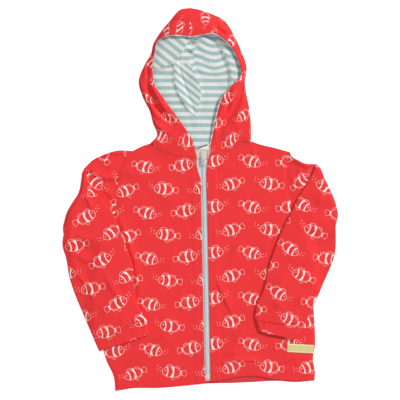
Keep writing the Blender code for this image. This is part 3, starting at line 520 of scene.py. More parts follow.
UV_MAP = "cloth"
WAVE = math.pi / 10  # the length of one band of a Wave texture whose scale is 1
NOISE_LOW, NOISE_HIGH = 0.3, 0.7  # between these are most values of a Noise texture

# A Mix node has its sockets' names once for each type, so those of its colours go by number.
MIX_FACTOR, MIX_A, MIX_B, MIX_RESULT = 0, 6, 7, 2


def linear(colour: str) -> tuple[float, float, float, float]:
    """An sRGB hex colour as Blender's linear one."""
    parts = [int(colour[i : i + 2], 16) / 255 for i in (1, 3, 5)]
    return (*(p / 12.92 if p <= 0.04045 else ((p + 0.055) / 1.055) ** 2.4 for p in parts), 1.0)


def per_metre(size: float) -> float:
    """How many lengths of this many millimetres a metre holds, which is the scale of a pattern so large."""
    return 1 / (size * MM)


def set_inputs(node: bpy.types.Node, inputs: dict) -> None:
    """Gives each input of a node, by its name or number, a value or the link from another node's output."""
    for key, value in inputs.items():
        if isinstance(value, Socket):
            node.id_data.links.new(value, node.inputs[key])
        else:
            node.inputs[key].default_value = value


def add_node(tree: Tree, kind: str, inputs: dict | None = None, **settings: object) -> bpy.types.Node:
    """Adds a node with its settings and links.

    Args:
        tree: the material's node tree.
        kind: the node's type, which comes after ShaderNode in its full name.
        inputs: a value or another node's output for each input, by its name or number.
        **settings: the node's own properties.

    Returns:
        The node.
    """
    node = tree.nodes.new(f"ShaderNode{kind}")
    for name, value in settings.items():
        setattr(node, name, value)
    set_inputs(node, inputs or {})
    return node


def new_material(name: str) -> tuple[bpy.types.Material, Tree, bpy.types.Node]:
    """An empty material, its tree and its Principled BSDF, which is linked to the output."""
    material = bpy.data.materials.new(name)
    material.use_nodes = True
    tree = material.node_tree
    tree.nodes.clear()
    shader = add_node(tree, "BsdfPrincipled")
    add_node(tree, "OutputMaterial", {"Surface": shader.outputs["BSDF"]})
    return material, tree, shader


def work_out(tree: Tree, steps: Sequence[tuple], known: dict) -> dict:
    """Adds a Math node for each step of a drawing.

    Args:
        tree: the material's node tree.
        steps: for each step its name, its operation, and its inputs as numbers or names of earlier steps.
        known: outputs that the steps start from, by name.

    Returns:
        The output of every step, by name.
    """
    values = dict(known)
    for name, operation, *sources in steps:
        inputs = {i: values[x] if isinstance(x, str) else x for i, x in enumerate(sources)}
        values[name] = add_node(tree, "Math", inputs, operation=operation).outputs[0]
    return values


def uneven(
    tree: Tree, colour: Socket | tuple[float, float, float], noise: dict, tones: Pair
) -> Socket:
    """A colour that is a little darker and lighter in soft lumps, as dyed yarn is.

    Args:
        tree: the material's node tree.
        colour: the colour, or the output that gives it.
        noise: the inputs of the Noise texture that makes the lumps.
        tones: what the colour is multiplied by where the noise is low and where it is high.

    Returns:
        The output that gives the uneven colour.
    """
    lumps = add_node(tree, "TexNoise", noise).outputs["Fac"]
    tone = add_node(
        tree, "MapRange",
        {"Value": lumps, "From Min": NOISE_LOW, "From Max": NOISE_HIGH,
         "To Min": tones[0], "To Max": tones[1]},
    ).outputs["Result"]
    return add_node(
        tree, "VectorMath", {0: colour, "Scale": tone}, operation="SCALE"
    ).outputs["Vector"]


# ---------------------------------------------------------------- the print


def oval(name: str, middle: Pair, half: Pair) -> tuple[tuple, ...]:
    """Steps that work out how far a place of the fish is outside an oval, below 0 within it.

    Args:
        name: the name of the last step, and the start of the others'.
        middle: the oval's middle, in millimetres.
        half: half its length and half its height.

    Returns:
        The steps.
    """
    return (
        (f"{name}_x", "MULTIPLY_ADD", "fx", 1 / half[0], -middle[0] / half[0]),
        (f"{name}_y", "MULTIPLY_ADD", "fy", 1 / half[1], -middle[1] / half[1]),
        (f"{name}_yy", "MULTIPLY", f"{name}_y", f"{name}_y"),
        (f"{name}_sum", "MULTIPLY_ADD", f"{name}_x", f"{name}_x", f"{name}_yy"),
        (f"{name}_root", "SQRT", f"{name}_sum"),
        (name, "MULTIPLY_ADD", f"{name}_root", half[1], -half[1]),
    )


ROW_PITCH = 40.0
COLUMN_PITCH = 67.0
STROKE = 0.31  # half the width of an outline
LINE_INK = 0.62  # how dense the ink of the outlines and bubbles is

# A plain striped fish, drawn from ovals and bands: fx and fy in millimetres from its middle, its head towards
# +x. Every other row is moved on by half a cell and faces the other way. The fish of even columns dive, the
# others climb a little. It starts from u and v, the place on the cloth in metres, and from cover, which says
# how much ink is left there.
FISH_STEPS = (
    ("x", "MULTIPLY", "u", 1 / MM),
    ("y", "MULTIPLY", "v", 1 / MM),
    ("row_at", "DIVIDE", "y", ROW_PITCH),
    ("row", "FLOOR", "row_at"),
    ("row_in", "SUBTRACT", "row_at", "row"),
    ("cell_y", "MULTIPLY_ADD", "row_in", ROW_PITCH, -ROW_PITCH / 2),
    ("odd", "FLOORED_MODULO", "row", 2.0),
    ("half_on", "MULTIPLY", "odd", 0.5),
    ("column_at", "MULTIPLY_ADD", "x", 1 / COLUMN_PITCH, "half_on"),
    ("column", "FLOOR", "column_at"),
    ("column_in", "SUBTRACT", "column_at", "column"),
    ("cell_x", "MULTIPLY_ADD", "column_in", COLUMN_PITCH, -COLUMN_PITCH / 2),
    ("facing", "MULTIPLY_ADD", "odd", -2.0, 1.0),
    ("ahead", "MULTIPLY", "cell_x", "facing"),
    ("column_odd", "FLOORED_MODULO", "column", 2.0),
    ("climb", "MULTIPLY_ADD", "column_odd", 0.5, -0.36),
    ("climb_y", "MULTIPLY", "climb", "cell_y"),
    ("climb_x", "MULTIPLY", "climb", "ahead"),
    ("fx", "ADD", "ahead", "climb_y"),
    ("fy", "SUBTRACT", "cell_y", "climb_x"),
    ("up", "ABSOLUTE", "fy"),
    ("bend", "MULTIPLY", "fy", "fy"),
    *oval("body", (2.2, 0.0), (16.0, 9.4)),
    *oval("crest", (5.4, 7.8), (6.6, 4.8)),
    *oval("back_fin", (-6.6, 6.4), (5.4, 4.2)),
    *oval("keel", (-1.6, -9.0), (3.6, 4.4)),
    *oval("rear_fin", (-8.6, -5.4), (4.4, 3.6)),
    *oval("tail_round", (-15.0, 0.0), (9.4, 9.4)),
    ("tail_side", "MULTIPLY_ADD", "fx", 0.26, 0.4),
    ("tail_wide", "ADD", "up", "tail_side"),
    ("tail_front", "ADD", "fx", 14.0),
    ("tail_back", "MAXIMUM", "tail_round", "tail_wide"),
    ("tail", "MAXIMUM", "tail_back", "tail_front"),
    ("fins_up", "MINIMUM", "crest", "back_fin"),
    ("fins_down", "MINIMUM", "keel", "rear_fin"),
    ("fins", "MINIMUM", "fins_up", "fins_down"),
    ("whole", "MINIMUM", "fins", "body"),
    ("whole_line", "ABSOLUTE", "whole"),
    ("body_line", "ABSOLUTE", "body"),
    ("tail_line", "ABSOLUTE", "tail"),
    ("line_two", "MINIMUM", "whole_line", "body_line"),
    ("line_all", "MINIMUM", "line_two", "tail_line"),
    ("line", "SUBTRACT", "line_all", STROKE),
    ("collar_bow", "MULTIPLY_ADD", "bend", 0.034, 8.4),
    ("collar_from", "SUBTRACT", "fx", "collar_bow"),
    ("collar_off", "ABSOLUTE", "collar_from"),
    ("collar_flare", "MULTIPLY_ADD", "up", -0.08, -0.8),
    ("collar_in", "ADD", "collar_off", "collar_flare"),
    ("collar", "MAXIMUM", "collar_in", "body"),
    ("belt_bow", "MULTIPLY_ADD", "bend", 0.03, -1.6),
    ("belt_from", "SUBTRACT", "fx", "belt_bow"),
    ("belt_off", "ABSOLUTE", "belt_from"),
    ("belt_in", "MULTIPLY_ADD", "up", -0.16, -1.1),
    ("belt_edge", "ADD", "belt_off", "belt_in"),
    ("belt", "MAXIMUM", "belt_edge", "body"),
    ("stem_from", "ADD", "fx", 15.4),
    ("stem_off", "ABSOLUTE", "stem_from"),
    ("stem_in", "SUBTRACT", "stem_off", 0.95),
    ("stem_high", "SUBTRACT", "up", 3.7),
    ("stem", "MAXIMUM", "stem_in", "stem_high"),
    *oval("eye", (13.0, 1.6), (0.9, 0.9)),
    ("lift", "MULTIPLY_ADD", "fx", 0.5, "fy"),
    ("bubble_x", "WRAP", "fx", 2.8, -2.8),
    ("bubble_y", "WRAP", "lift", 2.8, -2.8),
    ("bubble_yy", "MULTIPLY", "bubble_y", "bubble_y"),
    ("bubble_sum", "MULTIPLY_ADD", "bubble_x", "bubble_x", "bubble_yy"),
    ("bubble_from", "SUBTRACT", "bubble_sum", 1.0),
    ("bubble_ring", "ABSOLUTE", "bubble_from"),
    ("bubble", "SUBTRACT", "bubble_ring", 0.42),
    ("spray_x", "SUBTRACT", "fx", 23.2),
    ("spray_off", "ABSOLUTE", "spray_x"),
    ("spray_y", "SUBTRACT", "fy", 4.4),
    ("spray_up", "ABSOLUTE", "spray_y"),
    ("spray_far", "MAXIMUM", "spray_off", "spray_up"),
    ("spray_in", "SUBTRACT", "spray_far", 5.2),
    ("spray", "MAXIMUM", "bubble", "spray_in"),
    ("thin", "MINIMUM", "line", "spray"),
    ("thin_in", "LESS_THAN", "thin", 0.0),
    ("thin_ink", "MULTIPLY", "thin_in", LINE_INK),
    ("bands", "MINIMUM", "belt", "collar"),
    ("spots", "MINIMUM", "eye", "stem"),
    ("solid", "MINIMUM", "bands", "spots"),
    ("solid_ink", "LESS_THAN", "solid", 0.0),
    ("ink", "MAXIMUM", "thin_ink", "solid_ink"),
    ("print", "MULTIPLY", "ink", "cover"),
)


# ---------------------------------------------------------------- finishes


@dataclass(frozen=True)
class PrintedCotton:
    """Plain-woven cotton, piece-dyed and screen printed: matt, with a fine even thread and soft colour."""

    name: str = "printed_cotton"
    ground: str = "#F5393C"
    shade: str = "#EA3337"
    ink: str = "#FBE9E2"
    thread_mm: float = 0.9  # real threads are 0.35 mm apart, too fine to show
    thread_rise_mm: float = 0.12
    crumple_mm: float = 10.526
    crumple_rise_mm: float = 1.2
    mottle_mm: float = 45.455
    fleck_mm: float = 1.4286
    printed: bool = True
    roughness: float = 0.82

    def build(self) -> bpy.types.Material:
        """Makes the material."""
        material, tree, shader = new_material(self.name)
        at = add_node(tree, "UVMap", uv_map=UV_MAP).outputs["UV"]
        mottle = add_node(
            tree, "TexNoise", {"Vector": at, "Scale": per_metre(self.mottle_mm), "Detail": 3.0}
        )
        colour = add_node(
            tree, "Mix",
            {MIX_FACTOR: mottle.outputs["Fac"], MIX_A: linear(self.ground), MIX_B: linear(self.shade)},
            data_type="RGBA",
        ).outputs[MIX_RESULT]
        if self.printed:
            colour = self.overprint(tree, at, colour)
        threads = [
            add_node(
                tree, "TexWave",
                {"Vector": at, "Scale": WAVE * per_metre(self.thread_mm), "Distortion": 0.4},
                wave_type="BANDS", bands_direction=axis,
            ).outputs["Fac"]
            for axis in "XY"
        ]
        weave = add_node(tree, "Math", dict(enumerate(threads)), operation="ADD").outputs[0]
        crumple = add_node(
            tree, "TexNoise",
            {"Vector": at, "Scale": per_metre(self.crumple_mm), "Detail": 4.0, "Roughness": 0.55},
        ).outputs["Fac"]
        soft = add_node(
            tree, "Bump",
            {"Strength": 0.35, "Distance": self.crumple_rise_mm * MM, "Height": crumple},
        ).outputs["Normal"]
        bump = add_node(
            tree, "Bump",
            {"Strength": 0.3, "Distance": self.thread_rise_mm * MM, "Height": weave, "Normal": soft},
        ).outputs["Normal"]
        set_inputs(shader, {
            "Base Color": colour, "Roughness": self.roughness, "Normal": bump,
            "Sheen Weight": 0.06, "Sheen Roughness": 0.5, "Specular IOR Level": 0.2,
        })
        return material

    def overprint(self, tree: Tree, at: Socket, ground: Socket) -> Socket:
        """Prints the fish, in an ink that is worn thinner in small flecks.

        Args:
            tree: the material's node tree.
            at: the output that gives the place on the cloth.
            ground: the output that gives the bare cloth's colour.

        Returns:
            The output that gives the printed colour.
        """
        flecks = add_node(
            tree, "TexNoise", {"Vector": at, "Scale": per_metre(self.fleck_mm), "Detail": 2.0}
        ).outputs["Fac"]
        cover = add_node(
            tree, "MapRange",
            {"Value": flecks, "From Min": 0.25, "From Max": 0.45, "To Min": 0.75, "To Max": 0.98},
        ).outputs["Result"]
        apart = add_node(tree, "SeparateXYZ", {"Vector": at}).outputs
        drawn = work_out(tree, FISH_STEPS, {"u": apart["X"], "v": apart["Y"], "cover": cover})
        return add_node(
            tree, "Mix", {MIX_FACTOR: drawn["print"], MIX_A: ground, MIX_B: linear(self.ink)},
            data_type="RGBA",
        ).outputs[MIX_RESULT]


@dataclass(frozen=True)
class StripedJersey:
    """Yarn-dyed cotton jersey in even stripes: soft, matt and a little fuzzy where two colours meet."""

    name: str = "striped_jersey"
    mint: str = "#A3C1BF"
    white: str = "#E6E4E0"
    period_mm: float = 13.0
    fuzz_mm: float = 1.1111
    fuzz_reach: float = 0.09  # how far in all it moves a stripe's edge, as a share of the stripe
    edge_blur: float = 0.06
    rib_mm: float = 1.1  # real wales are 0.6 mm apart, too fine to show
    rib_rise_mm: float = 0.2
    heather_mm: float = 2.381
    roughness: float = 0.9

    def build(self) -> bpy.types.Material:
        """Makes the material."""
        material, tree, shader = new_material(self.name)
        at = add_node(tree, "UVMap", uv_map=UV_MAP).outputs["UV"]
        fuzz = add_node(
            tree, "TexNoise", {"Vector": at, "Scale": per_metre(self.fuzz_mm), "Detail": 2.0}
        )
        steps = (
            ("off", "MULTIPLY_ADD", "fuzz", self.fuzz_reach, -self.fuzz_reach / 2),
            ("course", "MULTIPLY_ADD", "v", 2 * per_metre(self.period_mm), "off"),
            ("stripe", "PINGPONG", "course", 1.0),
        )
        apart = add_node(tree, "SeparateXYZ", {"Vector": at}).outputs
        drawn = work_out(tree, steps, {"fuzz": fuzz.outputs["Fac"], "v": apart["Y"]})
        band = add_node(
            tree, "MapRange",
            {"Value": drawn["stripe"], "From Min": 0.5 - self.edge_blur, "From Max": 0.5 + self.edge_blur},
        ).outputs["Result"]
        colour = add_node(
            tree, "Mix", {MIX_FACTOR: band, MIX_A: linear(self.mint), MIX_B: linear(self.white)},
            data_type="RGBA",
        ).outputs[MIX_RESULT]
        heather = {"Vector": at, "Scale": per_metre(self.heather_mm), "Detail": 3.0}
        ribs = add_node(
            tree, "TexWave",
            {"Vector": at, "Scale": WAVE * per_metre(self.rib_mm), "Distortion": 0.6},
            wave_type="BANDS", bands_direction="X",
        ).outputs["Fac"]
        bump = add_node(
            tree, "Bump", {"Strength": 0.4, "Distance": self.rib_rise_mm * MM, "Height": ribs}
        ).outputs["Normal"]
        set_inputs(shader, {
            "Base Color": uneven(tree, colour, heather, (0.93, 1.04)), "Roughness": self.roughness,
            "Normal": bump, "Sheen Weight": 0.2, "Specular IOR Level": 0.2,
        })
        return material


@dataclass(frozen=True)
class Woven:
    """A close woven band, such as a zip tape, thread or label: fine ribs and a slight satin gloss.

    Where edge is a colour, the band is half_mm high on either side of its middle and has edges of edge_mm.
    """

    name: str
    colour: str
    edge: str | None = None
    half_mm: float = 0.0
    edge_mm: float = 0.0
    rib_mm: float = 1.0  # real ribs are about half as far apart, too fine to show
    rib_rise_mm: float = 0.15
    ribs: str = "Y"  # the direction in which one rib follows another
    grain_mm: float = 1.6667
    roughness: float = 0.65

    def build(self) -> bpy.types.Material:
        """Makes the material."""
        material, tree, shader = new_material(self.name)
        at = add_node(tree, "UVMap", uv_map=UV_MAP).outputs["UV"]
        colour = linear(self.colour)[:3]
        if self.edge:
            steps = (
                ("off", "ABSOLUTE", "v"),
                ("band", "GREATER_THAN", "off", (self.half_mm - self.edge_mm) * MM),
            )
            apart = add_node(tree, "SeparateXYZ", {"Vector": at}).outputs
            band = work_out(tree, steps, {"v": apart["Y"]})["band"]
            colour = add_node(
                tree, "Mix",
                {MIX_FACTOR: band, MIX_A: linear(self.colour), MIX_B: linear(self.edge)},
                data_type="RGBA",
            ).outputs[MIX_RESULT]
        grain = {"Vector": at, "Scale": per_metre(self.grain_mm), "Detail": 2.0}
        wave = add_node(
            tree, "TexWave", {"Vector": at, "Scale": WAVE * per_metre(self.rib_mm)},
            wave_type="BANDS", bands_direction=self.ribs,
        ).outputs["Fac"]
        bump = add_node(
            tree, "Bump", {"Strength": 0.4, "Distance": self.rib_rise_mm * MM, "Height": wave}
        ).outputs["Normal"]
        set_inputs(shader, {
            "Base Color": uneven(tree, colour, grain, (0.9, 1.05)), "Roughness": self.roughness,
            "Normal": bump,
        })
        return material


@dataclass(frozen=True)
class MouldedCoil:
    """Dyed nylon, moulded into teeth: smooth, with a soft gloss."""

    name: str = "zip_coil_nylon"
    colour: str = "#F3F7F9"
    cloud_mm: float = 3.3333
    roughness: float = 0.42
    ior: float = 1.53

    def build(self) -> bpy.types.Material:
        """Makes the material."""
        material, tree, shader = new_material(self.name)
        at = add_node(tree, "TexCoord").outputs["Object"]
        clouds = {"Vector": at, "Scale": per_metre(self.cloud_mm), "Detail": 2.0}
        colour = uneven(tree, linear(self.colour)[:3], clouds, (0.93, 1.03))
        set_inputs(shader, {"Base Color": colour, "Roughness": self.roughness, "IOR": self.ior})
        return material


@dataclass(frozen=True)
class CastMetal:
    """Die-cast zinc with a worn nickel plate: bright, fine-grained, softly scratched."""

    name: str = "zip_cast_metal"
    colour: str = "#EEDFD9"
    rubbed: float = 0.26  # the roughness where it is rubbed bright
    dulled: float = 0.46
    metallic: float = 0.55  # the plate is half covered by a pale satin lacquer
    scratch_mm: float = 0.6667
    scratch_rise_mm: float = 0.05

    def build(self) -> bpy.types.Material:
        """Makes the material."""
        material, tree, shader = new_material(self.name)
        at = add_node(tree, "TexCoord").outputs["Object"]
        scratches = add_node(
            tree, "TexNoise", {"Vector": at, "Scale": per_metre(self.scratch_mm), "Detail": 4.0}
        ).outputs["Fac"]
        rough = add_node(
            tree, "MapRange",
            {"Value": scratches, "From Min": NOISE_LOW, "From Max": NOISE_HIGH,
             "To Min": self.rubbed, "To Max": self.dulled},
        ).outputs["Result"]
        bump = add_node(
            tree, "Bump",
            {"Strength": 0.15, "Distance": self.scratch_rise_mm * MM, "Height": scratches},
        ).outputs["Normal"]
        set_inputs(shader, {
            "Base Color": linear(self.colour), "Metallic": self.metallic, "Roughness": rough, "Normal": bump,
        })
        return material


Finish = PrintedCotton | StripedJersey | Woven | MouldedCoil | CastMetal

COTTON = PrintedCotton()
COTTON_BACK = PrintedCotton(name="cotton_reverse", ground="#DC4348", shade="#D03C41", printed=False)
JERSEY = StripedJersey()
RED_THREAD = Woven("red_thread", "#E8474D", rib_mm=0.5, ribs="X", roughness=0.6)
DARK_THREAD = Woven("dark_thread", "#55666C", rib_mm=0.5, ribs="X", roughness=0.6)
TAPE = Woven("zip_tape_twill", "#C0DEE2")
SIDE_LABEL_WEAVE = Woven("label_lime_satin", "#DDD38C", edge="#EFE6BF", half_mm=7.2, edge_mm=1.9, rib_mm=0.8)
NECK_LABEL_WEAVE = Woven("label_cream_satin", "#EFEBDD", rib_mm=0.8)


# ---------------------------------------------------------------- making pieces


class Slot(Enum):
    """The record's material slots. Each new piece is handed one, but the slot is not put on it."""

    COTTON = "printed_cotton"
    JERSEY = "striped_jersey"
    TAPE = "zip_tape"
    COIL = "zip_coil"
    LIME = "label_lime"
    CREAM = "label_cream"


@dataclass(frozen=True)
class Layers:
    """What the cloth's layers measure, from the surface up."""

    gap: float = 0.3
    back_wall: float = 1.5
    front_wall: float = 1.6
    sheet_wall: float = 1.1
    hem_extra: float = 0.7
    hem_depth: float = 24.0
    front_lift: float = 0.4
    edge_roll: float = 7.0
    edge_drop: float = 0.7
    placket_lift: float = 1.1
    placket_width: float = 18.0
    neck_raise: float = 1.2

    @property
    def front_floor(self) -> float:
        """The lowest underside of a front."""
        return self.back_wall + self.gap


LAYERS = Layers()


@dataclass
class Workroom:
    """Turns shapes in millimetres into pieces in the frame, and keeps the finishes.

    The part stands with the middle of its outline over the origin, which moved the tables' origin by shift.
    """

    shift: Pair
    weld_distance: float = 1e-6
    materials: dict[str, bpy.types.Material] = field(default_factory=dict)

    def material(self, finish: Finish) -> bpy.types.Material:
        """The material of a finish, made once."""
        if finish.name not in self.materials:
            self.materials[finish.name] = finish.build()
        return self.materials[finish.name]

    def placed(self, points: Array) -> Array:
        """Places in metres in the frame."""
        return (points + np.array([*self.shift, 0.0])) * MM

    def add(self, name: str, mesh: bmesh.types.BMesh, finishes: Sequence[Finish]) -> bpy.types.Object:
        """Turns a bmesh, in metres and in the frame, into an object.

        Args:
            name: the piece's name.
            mesh: the bmesh, which is freed.
            finishes: the finish of each material index.

        Returns:
            The object, shaded smooth.
        """
        data = bpy.data.meshes.new(name)
        mesh.to_mesh(data)
        mesh.free()
        for finish in finishes:
            data.materials.append(self.material(finish))
        data.shade_smooth()
        piece = bpy.data.objects.new(name, data)
        bpy.context.scene.collection.objects.link(piece)
        return piece

    def sheet(
        self,
        name: str,
        cells: Cells,
        place: Patch,
        print_at: Printing,
        finishes: Sequence[Finish],
        wall: float,
        up: Pair = (0.0, 1.0),
        weld: bool = False,
    ) -> bpy.types.Object:
        """A sheet of cloth: a grid, each vertex put in its place, with its place on the cut cloth as its UV.

        Args:
            name: the piece's name.
            cells: how many cells it has across (u) and along (v).
            place: gives places in millimetres for u and v.
            print_at: gives places on the flat cloth, in millimetres, for u, v and the middle of the cell.
            finishes: the outer and the inner finish.
            wall: how thick the cloth is.
            up: the range of u whose faces face up.
            weld: whether the sheet closes on itself.

        Returns:
            The object, with a Solidify modifier.
        """
        mesh = bmesh.new()
        bmesh.ops.create_grid(mesh, x_segments=cells[0], y_segments=cells[1], size=0.5)
        at = np.array([vertex.co[:2] for vertex in mesh.verts]) + 0.5
        mesh.verts.index_update()
        corners = np.array([[loop.vert.index for loop in face.loops] for face in mesh.faces])
        middles = at[corners].mean(axis=1)
        loops = at[corners].reshape(-1, 2)
        cell = np.repeat(middles, corners.shape[1], axis=0)
        rows = iter(print_at(loops[:, 0], loops[:, 1], cell) * MM)
        layer = mesh.loops.layers.uv.new(UV_MAP)
        for face in mesh.faces:
            for loop in face.loops:
                loop[layer].uv = next(rows)
        for vertex, point in zip(mesh.verts, self.placed(place(at[:, 0], at[:, 1]))):
            vertex.co = point
        mesh.normal_update()
        facing = sum(
            face.normal.z * face.calc_area()
            for face, middle in zip(mesh.faces, middles)
            if up[0] <= middle[0] <= up[1]
        )
        if facing < 0:
            bmesh.ops.reverse_faces(mesh, faces=mesh.faces)
        if weld:
            bmesh.ops.remove_doubles(mesh, verts=mesh.verts, dist=self.weld_distance)
        for edge in mesh.edges:
            edge.smooth = not edge.is_boundary
        piece = self.add(name, mesh, finishes)
        thicken = piece.modifiers.new("wall", "SOLIDIFY")
        thicken.thickness = wall * MM
        thicken.offset = -1.0
        thicken.material_offset = len(finishes) - 1
        return piece

    def wear(self, piece: bpy.types.Object, slot: Slot, *nodes: str) -> None:
        """Puts a finished piece on the garment in place of its nodes.

        Args:
            piece: the piece.
            slot: not used.
            *nodes: the nodes that it replaces.
        """
        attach(piece, GARMENT)
        if nodes:
            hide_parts(*nodes)
        log.info("%s: %d faces", piece.name, len(piece.data.polygons))


# ---------------------------------------------------------------- sewing


@dataclass
class Sewing:
    """Machine topstitching: short raised stitches along a line on the cloth."""

    room: Workroom
    pitch: float = 3.3
    length: float = 2.5
    width: float = 0.62
    sink: float = 0.05

    def run(self, mesh: bmesh.types.BMesh, path: Array) -> None:
        """Adds a run of stitches.

        Args:
            mesh: the bmesh that the stitches go into.
            path: the line on the cloth's surface, in millimetres.
        """
        at = lengths(path)
        middles = np.arange(self.pitch, at[-1] - self.pitch / 2, self.pitch)
        ends = [
            np.stack([np.interp(middles + side * self.length / 2, at, column) for column in path.T], axis=1)
            for side in (-1, 1)
        ]
        size = Matrix.Diagonal((self.length / 2 * MM, self.width / 2 * MM, self.width / 2 * MM, 1.0))
        for start, end in zip(*(self.room.placed(e) for e in ends)):
            along = Vector(end - start)
            turn = along.to_track_quat("X", "Z").to_matrix().to_4x4()
            middle = Vector((start + end) / 2) - Vector((0, 0, self.sink * MM))
            bmesh.ops.create_uvsphere(
                mesh, u_segments=6, v_segments=4, radius=1.0, matrix=Matrix.Translation(middle) @ turn @ size
            )

    def sew(self, name: str, paths: Sequence[Array], thread: Finish) -> None:
        """Makes one piece of all the stitching on a part of the garment.

        Args:
            name: the piece's name.
            paths: the lines, in millimetres.
            thread: the thread's finish.
        """
        mesh = bmesh.new()
        layer = mesh.loops.layers.uv.new(UV_MAP)
        for path in paths:
            self.run(mesh, path)
        for face in mesh.faces:
            for loop in face.loops:
                loop[layer].uv = loop.vert.co.xy
        piece = self.room.add(name, mesh, [thread])
        self.room.wear(piece, Slot.COTTON)


# ---------------------------------------------------------------- body


ZIP_BOTTOM = (13.4, -309.0)
ZIP_TOP = (6.2, 71.0)


def zip_x(y: Array | float) -> Array | float:
    """Where the zip's middle line is, at a place along it."""
    return ZIP_BOTTOM[0] + (y - ZIP_BOTTOM[1]) / (ZIP_TOP[1] - ZIP_BOTTOM[1]) * (ZIP_TOP[0] - ZIP_BOTTOM[0])


@dataclass
class Body:
    """The two fronts, open down the middle at the zip, and the back that they lie on."""

    room: Workroom
    cells: Cells = (124, 270)
    back_cells: Cells = (60, 60)
    neck_share: float = 0.72  # how much of a front's upper edge is its neck, the rest being its shoulder
    under_sleeve: float = 0.35  # how much of a fold is left where a sleeve covers it
    sleeve_fade: float = 8.0
    placket_fade: float = 9.0
    neck_fade: float = 14.0
    ripple_length: float = 46.0
    ripple_rise: float = 0.2
    hem_step: float = 2.0
    zip_edge_drop: float = 0.45
    zip_edge_roll: float = 2.4
    hem_stitch: float = 1.5  # how far the hem's stitches are below the edge of what is turned up
    hem_stitch_dip: float = 0.3
    hem_stitch_reach: float = 2.4
    placket_stitch: float = 7.0  # how far the placket's stitches are from the front's edge
    placket_stitch_dip: float = 0.25
    placket_stitch_reach: float = 1.6
    neck_stitch: float = 2.6
    pucker_rise: float = 0.22
    pucker_length: float = 8.5
    pucker_sway: float = 1.3  # how far, as an angle, the puckers stray from even steps
    pucker_sway_length: float = 17.0
    pucker_below: float = 4.0  # how far the puckers' middle is below the edge of what is turned up
    pucker_reach: float = 9.0
    print_places: dict[str, tuple] = field(
        default_factory=lambda: {"right": (-2.5, (-6.0, 39.0)), "left": (0.0, (-56.0, 33.0))}
    )
    outlines: dict[str, Patch] = field(default_factory=dict)
    covered: list[Array] = field(default_factory=list)

    def __post_init__(self) -> None:
        """Works out the outlines and what the folded sleeves cover."""
        for name, centre, hem, neck, shoulder, side in (
            ("right", CENTRE_RIGHT, HEM_RIGHT, NECK_RIGHT, SHOULDER_RIGHT, SIDE_RIGHT),
            ("left", CENTRE_LEFT, HEM_LEFT, NECK_LEFT, SHOULDER_LEFT, SIDE_LEFT),
        ):
            top = joined(smooth_line(neck), smooth_line(shoulder), self.neck_share)
            self.outlines[name] = patch(smooth_line(hem), top, smooth_line(centre), smooth_line(side))
        for lines in (SLEEVE_RIGHT, SLEEVE_LEFT):
            loops = (lines.inner, lines.cuff_end, lines.outer[::-1], lines.fold[::-1])
            self.covered.append(np.array([point for loop in loops for point in loop], float))

    @staticmethod
    def outline() -> Array:
        """The whole body's outline."""
        right, left = smooth_line(SIDE_RIGHT)(shares(30)), smooth_line(SIDE_LEFT)(shares(30))
        return np.concatenate([right, [NECK_RIGHT[-1], NECK_LEFT[-1]], left[::-1]])

    def floor(self, at: Array, from_side: Array, from_neck: Array) -> Array:
        """The underside of a front: lifted off the back, creased, and raised by the zip and the neck seam.

        Args:
            at: the places, a row each.
            from_side: how far each is from the side's edge.
            from_neck: how far each is from the neck's edge.

        Returns:
            The height at each place.
        """
        lift = LAYERS.front_lift * eased(from_side / LAYERS.edge_roll)
        free = np.ones(len(at))
        for cover in self.covered:
            free *= eased(outside(cover, at) / self.sleeve_fade)
        folds = relief(FRONT_CREASES, at) * (self.under_sleeve + (1 - self.under_sleeve) * free)
        folds += ripple(at, seed=5, length=self.ripple_length, rise=self.ripple_rise) * free
        beside_zip = LAYERS.placket_width + self.placket_fade - np.abs(at[:, 0] - zip_x(at[:, 1]))
        placket = LAYERS.placket_lift * eased(beside_zip / self.placket_fade)
        neck = LAYERS.neck_raise * near_start(from_neck, self.neck_fade)
        return LAYERS.front_floor + np.maximum(np.maximum(lift + folds, placket), neck)

    def front_top(self, side: str, u: Array, v: Array) -> Array:
        """Places on the outer face of a front.

        Args:
            side: "right" or "left".
            u: from the zip to the side.
            v: from the hem to the neck and shoulder.

        Returns:
            The places, in millimetres.
        """
        outline = self.outlines[side]
        at = outline(u, v)
        ones, zeros = np.ones_like(u), np.zeros_like(u)
        from_side = apart(outline(ones, v), at)
        from_hem = apart(outline(u, zeros), at)
        from_neck = np.where(u < self.neck_share, apart(outline(u, ones), at), FAR)
        from_centre = apart(outline(zeros, v), at)
        above_hem = from_hem - LAYERS.hem_depth
        turned_up = near_start(above_hem + self.hem_step / 2, self.hem_step)
        thick = LAYERS.front_wall + LAYERS.hem_extra * turned_up
        # The hem's folded edge is three times as sharp as the side's.
        thick -= LAYERS.edge_drop * near_start(np.minimum(from_side, from_hem * 3), LAYERS.edge_roll)
        thick -= self.zip_edge_drop * near_start(from_centre, self.zip_edge_roll)
        thick -= self.hem_stitch_dip * bell(above_hem + self.hem_stitch, self.hem_stitch_reach)
        sway = self.pucker_sway * np.sin(at[:, 0] / self.pucker_sway_length)
        pucker = np.cos(at[:, 0] * 2 * math.pi / self.pucker_length + sway)
        thick += self.pucker_rise * pucker * bell(above_hem + self.pucker_below, self.pucker_reach)
        thick -= self.placket_stitch_dip * bell(from_centre - self.placket_stitch, self.placket_stitch_reach)
        return np.column_stack([at, self.floor(at, from_side, from_neck) + thick])

    def build_front(self, side: str) -> None:
        def place(u: Array, v: Array) -> Array:
            """The places of the front's outer face."""
            return self.front_top(side, u, v)

        def print_at(u: Array, v: Array, _cell: Array) -> Array:
            """The front's places on the print, which lies level but for a small turn."""
            return turned(self.outlines[side](u, v), *self.print_places[side])

